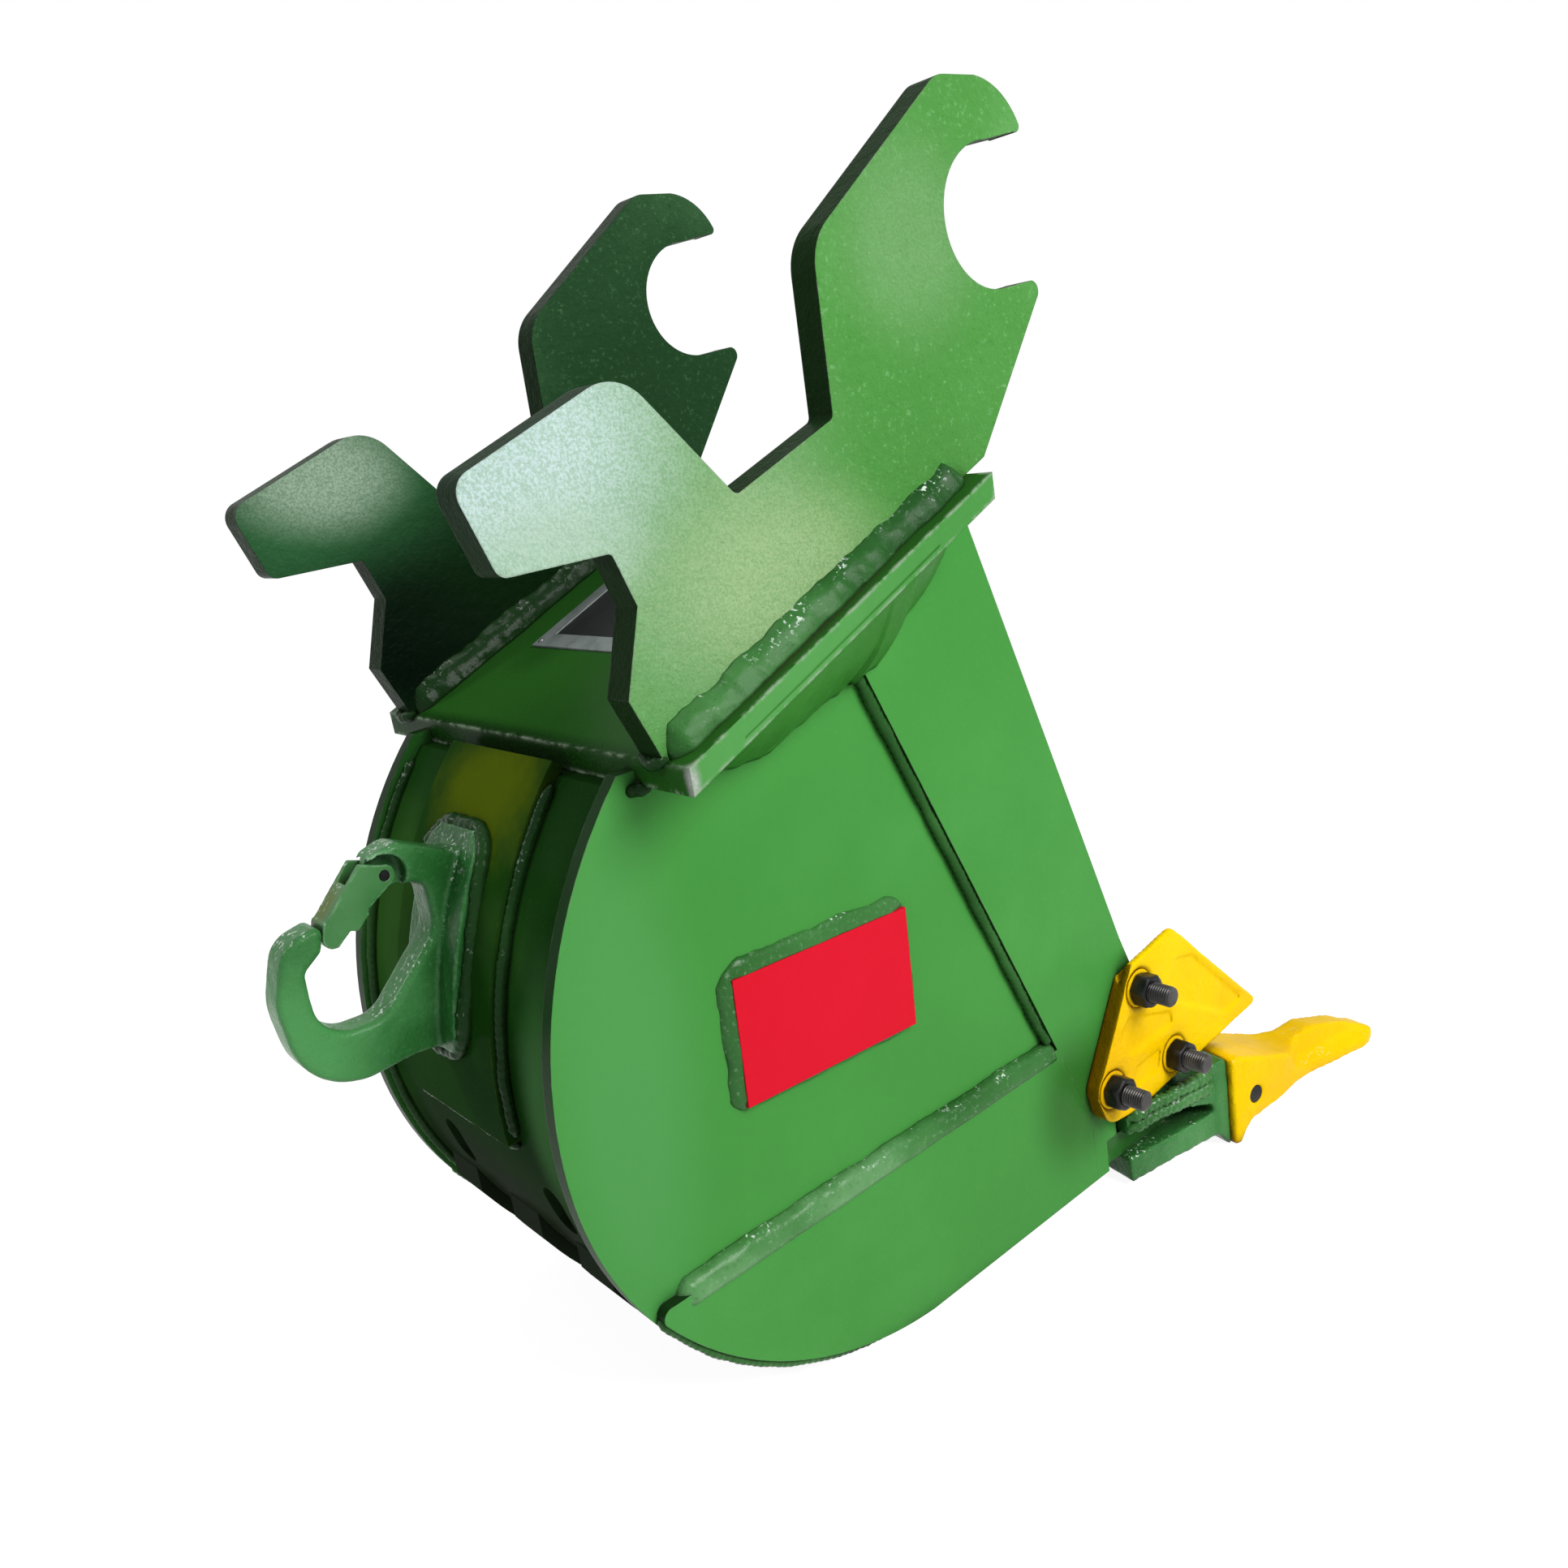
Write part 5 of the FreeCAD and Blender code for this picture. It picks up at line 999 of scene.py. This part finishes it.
class BUCKET_OT_overhang_fill(bpy.types.Operator):
    """Build up the weld fill between the overhanging base plate and the sides"""
    bl_idname = "bucket.overhang_fill"
    bl_label = "Overhang fill"

    # The fill follows a dark band under the overhang which is partly the overhang's shadow
    # X, and depth of the fill's foot under the base plate's lower face
    FEET = ((-352.0, 2.0), (-330.0, 22.0), (-304.0, 43.0), (-268.0, 60.0), (-224.0, 66.0), (-184.0, 69.0),
            (-150.0, 70.0), (-142.0, 58.0), (-103.0, 56.0), (-76.0, 46.0), (-53.0, 34.0))
    # How far the fill laps up the base plate's side face, and stands proud of it
    LAP = 5.0
    PROUD = 0.8
    REAR_TAPER = 25.0
    FRONT_TAPER = 72.0
    STEP = 2.0

    def depth(self, x):
        """Depth of the foot at x, between the measured places."""
        for (x0, d0), (x1, d1) in zip(self.FEET, self.FEET[1:]):
            if x <= x1:
                share = (x - x0) / (x1 - x0)
                return d0 + (d1 - d0) * share
        return self.FEET[-1][1]

    def execute(self, context):
        runs = []
        first, last = self.FEET[0][0], self.FEET[-1][0]
        steps = int((last - first) / self.STEP)
        for side in (-1, 1):
            run = []
            for step in range(steps + 1):
                x = first + (last - first) * step / steps
                depth = self.depth(x)
                inner = BAR_FACE if x > seam_x(under_base(x) - 40.0) else SIDE_FACE
                full = BASE_HALF + self.PROUD - inner
                reach = full * min(1.0, depth / self.REAR_TAPER, 0.25 + 0.75 * (last - x) / self.FRONT_TAPER)
                run.append(((x, side * (inner - 1.0), under_base(x) + 0.5),
                            (0.0, side * (reach + 1.0), self.LAP * reach / full), (0.0, 0.0, -depth)))
            runs.append(run)
        fill = weld_fillets("overhang_fill", runs, lumps=0.2, sway=(0.0, 0.06), bulge=0.08, seed=1.0)
        settle(fill, "fill", "green_paint", "overhang_welds")
        return {"FINISHED"}


class BUCKET_OT_name_plate_beads(bpy.types.Operator):
    """Run a thick bead round each blank name plate"""
    bl_idname = "bucket.name_plate_beads"
    bl_label = "Name plate beads"
    PLATE_RISE = 5.0
    STEPS = 40

    def on_plate(self, side, x, z, out):
        """A point beside the plate's middle, along its own edges."""
        c, s = math.cos(NAME_PLATE_TILT), math.sin(NAME_PLATE_TILT)
        return Vector((NAME_PLATE_X + x * c + z * s, side * (SIDE_FACE + out), NAME_PLATE_Z - x * s + z * c))

    def execute(self, context):
        half_w, half_h = NAME_PLATE_HALF
        sides = (((-half_w - 8, half_h), (half_w + 2, half_h), (0, 1), 15.0),
                 ((-half_w, -half_h - 4), (-half_w, half_h + 8), (-1, 0), 13.0),
                 ((-half_w - 4, -half_h), (half_w + 2, -half_h), (0, -1), 6.0),
                 ((half_w, -half_h - 2), (half_w, half_h + 4), (1, 0), 6.0))
        runs = []
        for side in (-1, 1):
            for start, end, away, reach in sides:
                away = Vector(away)
                run = []
                for step in range(self.STEPS + 1):
                    spot = Vector(start).lerp(Vector(end), step / self.STEPS) - away * 1.5
                    corner = self.on_plate(side, *spot, -1.0)
                    toe = self.on_plate(side, *(spot + away * reach), -1.0)
                    run.append((corner, (0.0, side * (self.PLATE_RISE + 1.5), 0.0), toe - corner))
                runs.append(run)
        beads = weld_fillets("name_plate_beads", runs, sway=(0.1, 0.2), seed=2.0)
        settle(beads, "glossy_lit_weld", "green_paint", "name_plate_welds")
        return {"FINISHED"}


class BUCKET_OT_lifting_hook(bpy.types.Operator):
    """Forge the lifting hook and its latch, and weld the hook's foot"""
    bl_idname = "bucket.lifting_hook"
    bl_label = "Lifting hook"
    BEAD_RADIUS = BACK_RADIUS + 2.0

    def execute(self, context):
        castings = context.scene.bucket_castings
        hook = soften("forged_hook", "lifting_hook", castings.hook_grid, 4, lumps=0.0005, lump_size=0.012,
                      slim=0.05)
        settle(hook, "forging", "green_paint", "lifting_hook")
        latch = soften("pressed_latch", "hook_latch", castings.hook_grid * 0.65, 3)
        settle(latch, "latch", "green_paint", "hook_latch", body="latch")
        side_y = HOOK_FOOT_HALF - HOOK_FOOT_CORNER
        top_z = HOOK_FOOT_TOP - HOOK_FOOT_CORNER
        bottom_z = HOOK_FOOT_BOTTOM + HOOK_FOOT_CORNER
        ring = []
        for centre_y, centre_z, start in ((side_y, top_z, 0), (-side_y, top_z, 90), (-side_y, bottom_z, 180),
                                          (side_y, bottom_z, 270)):
            for step in range(7):
                angle = math.radians(start + step * 15)
                y = centre_y + HOOK_FOOT_CORNER * math.cos(angle)
                z = centre_z + HOOK_FOOT_CORNER * math.sin(angle)
                ring.append((BACK_X - math.sqrt(self.BEAD_RADIUS ** 2 - (z - ARC_Z) ** 2), y, z))
        ring.append(ring[0])
        bead = weld_beads("hook_foot_bead", [ring], "shaded_weld", bead=0.007, pitch=0.009, ripple=0.12,
                          wander=0.005, lumps=0.004, seed=2.0)
        settle(bead, "shaded_weld", "green_paint", "hook_welds")
        return {"FINISHED"}


class BUCKET_OT_shell_seams(bpy.types.Operator):
    """Run the beads between shell and sides, round the pad and at the base plate's rear corners"""
    bl_idname = "bucket.shell_seams"
    bl_label = "Shell seams"

    def execute(self, context):
        welds = context.scene.bucket_welds
        paths = []
        x, z = BASE_REAR
        corner = under_base(x) - 1.0
        for side in (-1, 1):
            for inset, across, angles in ((SHELL_INSET - 2.0, SHELL_FACE - 2.5, range(139, 232, 2)),
                                          (SHELL_INSET - 3.0, PAD_HALF + 2.5, range(138, 184, 2))):
                arc = [on_side_arc(angle, inset) for angle in angles]
                paths.append([(arc_x, side * across, arc_z) for arc_x, arc_z in arc])
            paths.append([(x - 5.0, side * (SIDE_FACE - 14.0), corner),
                          (x - 6.0, side * SIDE_FACE, corner - 2.0),
                          (x + 3.0, side * (SIDE_FACE + 12.0), corner)])
            paths.append([(x, side * (EAR_OUTER + 3.0), z + 3.0), (x - 3.5, side * 190.0, z - 1.0),
                          (x, side * (EAR_INNER - 3.0), z + 3.0)])
        pad_x, pad_z = on_side_arc(183.6, SHELL_INSET - 3.0)
        paths.append([(pad_x, y, pad_z) for y in range(-80, 81, 8)])
        beads = weld_beads("shell_beads", paths, "shaded_weld", bead=welds.seam_bead * 0.9, pitch=welds.pitch,
                           ripple=welds.ripple, wander=0.002, lumps=0.0014, seed=7.0)
        settle(beads, "shaded_weld", "green_paint")
        return {"FINISHED"}


class BUCKET_OT_side_cutters(bpy.types.Operator):
    """Cast the side cutters and bolt them on with washers, nuts and threaded bolts"""
    bl_idname = "bucket.side_cutters"
    bl_label = "Side cutters and bolts"
    # Radius and Y from the cutter's face; Y is away from the bucket where negative
    WASHER = ((10.3, 2.9), (17.6, 2.9), (18.5, 2.2), (18.5, 0.7), (17.7, 0.0), (10.3, 0.0))
    NUT_RECESS = ((11.6, -16.0), (10.4, -14.8))

    def execute(self, context):
        castings = context.scene.bucket_castings
        sizes = context.scene.bucket_fastenings
        for word in ("right", "left"):
            cutter = soften("cast_cutter_" + word, "side_cutter_" + word, castings.cutter_grid, 3,
                            lumps=castings.lumps * 0.5)
            settle(cutter, "cutter", "yellow_paint", "side_cutter_" + word)
        points = [(x, side * CUTTER_FACE, z) for side in (-1, 1) for x, z in BOLT_PLACES]
        flats = sizes.across_flats / MM
        radius = sizes.bolt_radius / MM
        pitch = sizes.thread_pitch / MM
        crown, limit = flats * 0.5, flats * 0.56
        washer = [ring_row(*row) for row in self.WASHER]
        nut = [hexagon_row(flats, *row)
               for row in ((crown, 0.0), (limit, -1.4), (limit, -13.6), (crown, -15.4))]
        nut += [ring_row(*row) for row in self.NUT_RECESS]
        head = CUTTER_FACE - SHELL_FACE
        bolt = [hexagon_row(flats, *row) for row in ((crown, head + 12.4), (limit, head + 11.2),
                                                     (limit, head + 0.5))]
        bolt += [ring_row(radius, head + 0.4), ring_row(radius, 3.0)]
        bolt += [thread_row(radius, THREAD_DEPTH, pitch, -1.0 + (BOLT_END + 2.2) * step / THREAD_ROWS)
                 for step in range(THREAD_ROWS + 1)]
        bolt += [ring_row(radius - 1.3, BOLT_END + 0.3), ring_row(radius - 2.4, BOLT_END)]
        for name, rows, count, finish, node_name in (
                ("plain_washers", washer, 40, "yellow", "cutter_washers"),
                ("chamfered_nuts", nut, 72, "black", "cutter_nuts"),
                ("threaded_bolts", bolt, 36, "thread", "cutter_bolts")):
            copies = stand_copies(name, lathe(name + "_template", rows, count), points, finish, sizes.seed)
            settle(copies, finish, "black_steel", node_name)
        return {"FINISHED"}


class BUCKET_OT_teeth(bpy.types.Operator):
    """Cast the teeth and adapters, and weld the adapters to the lip"""
    bl_idname = "bucket.teeth"
    bl_label = "Teeth and adapters"
    FOOT_HALF = 33.5
    FOOT_BACK = -2.5
    # Across the adapter's axis and above the lip: the runs along the outer adapters' cheeks
    OUTER_RUNS = ((29.5, 17.0), (31.0, 6.0))

    def on_lip(self, side, along, across, rise=0.0):
        """A point round an adapter's foot, along and across its own axis."""
        turn = ADAPTER_TURN * side
        return (ADAPTER_X + along * math.cos(turn) - across * math.sin(turn),
                ADAPTER_Y * side + along * math.sin(turn) + across * math.cos(turn), LIP_WELD_Z + rise)

    def execute(self, context):
        castings = context.scene.bucket_castings
        for word in ("right", "centre", "left"):
            tooth = soften("cast_tooth_" + word, "tooth_" + word, castings.cast_grid, 9,
                           lumps=castings.lumps, lump_size=0.03)
            settle(tooth, "yellow", "yellow_paint", "tooth_" + word)
            adapter = soften("cast_adapter_" + word, "adapter_" + word, castings.cast_grid, 4,
                             lumps=castings.lumps, lump_size=0.025)
            settle(adapter, "adapter", "green_paint", "adapter_" + word)
        beads = []
        for side in (-1, 0, 1):
            inner = -side if side else 1
            path = [self.on_lip(side, along, inner * self.FOOT_HALF) for along in range(66, -3, -8)]
            path += [self.on_lip(side, self.FOOT_BACK, inner * across)
                     for across in range(30, -33 if side == 0 else 10, -8)]
            if side == 0:
                path += [self.on_lip(side, along, -self.FOOT_HALF) for along in range(0, 67, 8)]
            beads.append(path)
            if side:
                for across, rise in self.OUTER_RUNS:
                    beads.append([self.on_lip(side, along, side * across, rise)
                                  for along in range(0, 118, 9)])
        welded = weld_beads("adapter_beads", beads, "glossy_lit_weld", bead=0.0075, pitch=0.008, ripple=0.2,
                            wander=0.005, lumps=0.004, seed=11.0)
        settle(welded, "glossy_lit_weld", "green_paint")
        return {"FINISHED"}


class BUCKET_OT_data_plate(bpy.types.Operator):
    """Make the bare data plate with its bright frame, dark field and rivets"""
    bl_idname = "bucket.data_plate"
    bl_label = "Data plate"

    START = 104.0
    LENGTH = 112.0
    WIDTH = 166.0
    CENTRE = 36.0
    THICK = 2.0
    RIM = 17.0
    SUNK = 0.7
    RIVET_INSET = 7.0
    DOME = ((3.0, 0.0), (2.6, 0.5), (1.6, 1.05), (0.3, 1.25))

    def seat(self, along, across, up):
        """A point on the base plate, from the data plate's rear corner."""
        x, z = on_base(self.START + along, up)
        return place(x, self.CENTRE - self.WIDTH / 2 + across, z)

    def execute(self, context):
        mesh = bmesh.new()
        rows = []
        for inset, up in ((0.0, 0.0), (0.0, self.THICK - 0.4), (0.4, self.THICK), (self.RIM, self.THICK),
                          (self.RIM + 0.6, self.THICK - self.SUNK)):
            far, wide = self.LENGTH - inset, self.WIDTH - inset
            rows.append([mesh.verts.new(self.seat(along, across, up))
                         for along, across in ((inset, inset), (far, inset), (far, wide), (inset, wide))])
        close_rows(mesh, rows)[1].material_index = 1
        plate = finished_mesh("framed_data_plate", mesh)
        plate.data.shade_flat()
        plate.data.materials.append(FINISH["data"])
        plate.data.materials.append(FINISH["data_field"])
        settle(plate, None, "bright_plate", "data_plate")

        mesh = bmesh.new()
        turns = [math.radians(30 * step) for step in range(12)]
        for along in (self.RIVET_INSET, self.LENGTH - self.RIVET_INSET):
            for across in (self.RIVET_INSET, self.WIDTH - self.RIVET_INSET):
                rows = []
                for radius, up in self.DOME:
                    rows.append([mesh.verts.new(self.seat(along + radius * math.cos(turn),
                                                          across + radius * math.sin(turn),
                                                          self.THICK + up)) for turn in turns])
                close_rows(mesh, rows)
        rivets = finished_mesh("domed_rivets", mesh)
        rivets.data.shade_smooth()
        settle(rivets, "bright", "plain_steel", "data_plate_rivets")
        return {"FINISHED"}


class BUCKET_OT_studio(bpy.types.Operator):
    """Set up floor, lights and camera"""
    bl_idname = "bucket.studio"
    bl_label = "Studio"

    FLOOR_REACH = 14.0
    FLOOR_GREY = (0.86, 0.86, 0.86, 1.0)
    FLOOR_GLOW = 1.52
    GLOW_SHARE = 0.6
    WHITE = (1.0, 1.0, 1.0, 1.0)
    # Name, place, aim and size in metres of each lamp
    KEY_LAMP = ("key lamp", (500, -2700, 1500), (-120, 0, -480), 1.8)
    TOP_LAMP = ("top lamp", (-500, -300, 2300), (-200, 0, -450), 0.8)
    GLINT_LAMP = ("glint lamp", (-1700, 900, 700), (-450, 0, -450), 0.25)
    TOP_SHARE = 0.1
    CAMERA_PLACE = (-813.0, -885.7, -103.8)
    CAMERA_LENS = 29.85
    CAMERA_AXES = ((0.75013, -0.64240, -0.15692), (0.29975, 0.11880, 0.94659), (-0.58946, -0.75710, 0.28167))

    def execute(self, context):
        studio = context.scene.bucket_studio
        scene = context.scene
        if studio.show_floor:
            self.lay_floor()
        world = scene.world or bpy.data.worlds.new("studio")
        scene.world = world
        world.use_nodes = True
        tree = world.node_tree
        tree.nodes.clear()
        rays = tree.nodes.new("ShaderNodeLightPath").outputs
        seen = calc(tree, "MAXIMUM", rays["Is Camera Ray"], rays["Is Transmission Ray"])
        seen = calc(tree, "MAXIMUM", seen, times(tree, rays["Is Glossy Ray"], 0.9))
        strength = plus(tree, times(tree, seen, 1.0 - studio.fill), studio.fill)
        shade = tree_node(tree, "ShaderNodeBackground", {"Color": self.WHITE, "Strength": strength})
        out = tree.nodes.new("ShaderNodeOutputWorld")
        tree.links.new(shade.outputs[0], out.inputs[0])
        self.hang_lamp(*self.KEY_LAMP, studio.key_power)
        self.hang_lamp(*self.TOP_LAMP, studio.key_power * self.TOP_SHARE)
        self.hang_lamp(*self.GLINT_LAMP, studio.glint_power)
        self.stand_camera(scene)
        scene.view_settings.view_transform = "Standard"
        return {"FINISHED"}

    def lay_floor(self):
        """A wide pale floor that holds the object's shadow."""
        mesh = bpy.data.meshes.new("studio_floor")
        corners = [(x * self.FLOOR_REACH, y * self.FLOOR_REACH, CAD_LOW.z)
                   for x, y in ((-1, -1), (1, -1), (1, 1), (-1, 1))]
        mesh.from_pydata(corners, [], [(0, 1, 2, 3)])
        floor = stand("studio_floor", mesh)
        material, tree, shader = new_material("pale floor")[:3]
        shader.inputs["Base Color"].default_value = self.FLOOR_GREY
        shader.inputs["Roughness"].default_value = 0.9
        shader.inputs["Specular IOR Level"].default_value = 0.0
        glow = tree_node(tree, "ShaderNodeEmission", {"Color": self.WHITE, "Strength": self.FLOOR_GLOW})
        rays = tree.nodes.new("ShaderNodeLightPath").outputs
        seen = calc(tree, "MAXIMUM", rays["Is Camera Ray"], rays["Is Glossy Ray"])
        share = times(tree, seen, self.GLOW_SHARE)
        mix = tree_node(tree, "ShaderNodeMixShader", {0: share, 1: shader.outputs[0], 2: glow.outputs[0]})
        tree.links.new(mix.outputs[0], tree.nodes["Material Output"].inputs["Surface"])
        mesh.materials.append(material)

    def hang_lamp(self, name, spot, aim, size, power):
        """A round lamp at a place in bucket axes, aimed at another."""
        lamp = bpy.data.lights.new(name, "AREA")
        lamp.energy = power
        lamp.shape = "DISK"
        lamp.size = size
        obj = stand(name, lamp)
        obj.location = place(*spot)
        obj.rotation_euler = (place(*aim) - place(*spot)).to_track_quat("-Z", "Y").to_euler()

    def stand_camera(self, scene):
        """The camera solved from the photograph."""
        camera = bpy.data.cameras.new("camera")
        camera.lens = self.CAMERA_LENS
        camera.sensor_width = 36.0
        camera.clip_start = 0.05
        camera.clip_end = 100.0
        obj = stand("camera", camera)
        matrix = Matrix([place(*axis).normalized() for axis in self.CAMERA_AXES]).transposed().to_4x4()
        matrix.translation = place(*self.CAMERA_PLACE)
        obj.matrix_world = matrix
        scene.camera = obj


class BUCKET_PT_maker(bpy.types.Panel):
    """Settings and pieces of the bucket"""
    bl_idname = "BUCKET_PT_maker"
    bl_label = "Bucket"
    bl_space_type = "VIEW_3D"
    bl_region_type = "UI"
    bl_category = "Bucket"

    def draw(self, context):
        column = self.layout.column()
        for group in GROUPS:
            settings = getattr(context.scene, group)
            for name in settings.__annotations__:
                column.prop(settings, name)
        for operator in OPERATORS:
            column.operator(operator.bl_idname)


GROUPS = {
    "bucket_colours": BucketColours,
    "bucket_welds": BucketWelds,
    "bucket_castings": BucketCastings,
    "bucket_fastenings": BucketFastenings,
    "bucket_studio": BucketStudio,
}
OPERATORS = (
    BUCKET_OT_painted_plates,
    BUCKET_OT_ear_welds,
    BUCKET_OT_side_welds,
    BUCKET_OT_overhang_fill,
    BUCKET_OT_name_plate_beads,
    BUCKET_OT_lifting_hook,
    BUCKET_OT_shell_seams,
    BUCKET_OT_side_cutters,
    BUCKET_OT_teeth,
    BUCKET_OT_data_plate,
    BUCKET_OT_studio,
)


def register():
    for name, group in GROUPS.items():
        bpy.utils.register_class(group)
        setattr(bpy.types.Scene, name, PointerProperty(type=group))
    for cls in (*OPERATORS, BUCKET_PT_maker):
        bpy.utils.register_class(cls)


def unregister():
    for cls in (BUCKET_PT_maker, *reversed(OPERATORS)):
        bpy.utils.unregister_class(cls)
    for name, group in reversed(GROUPS.items()):
        delattr(bpy.types.Scene, name)
        bpy.utils.unregister_class(group)


def main():
    register()
    for operator in OPERATORS:
        step = operator.bl_idname.split(".")[1]
        getattr(bpy.ops.bucket, step)()


if __name__ == "__main__":
    main()
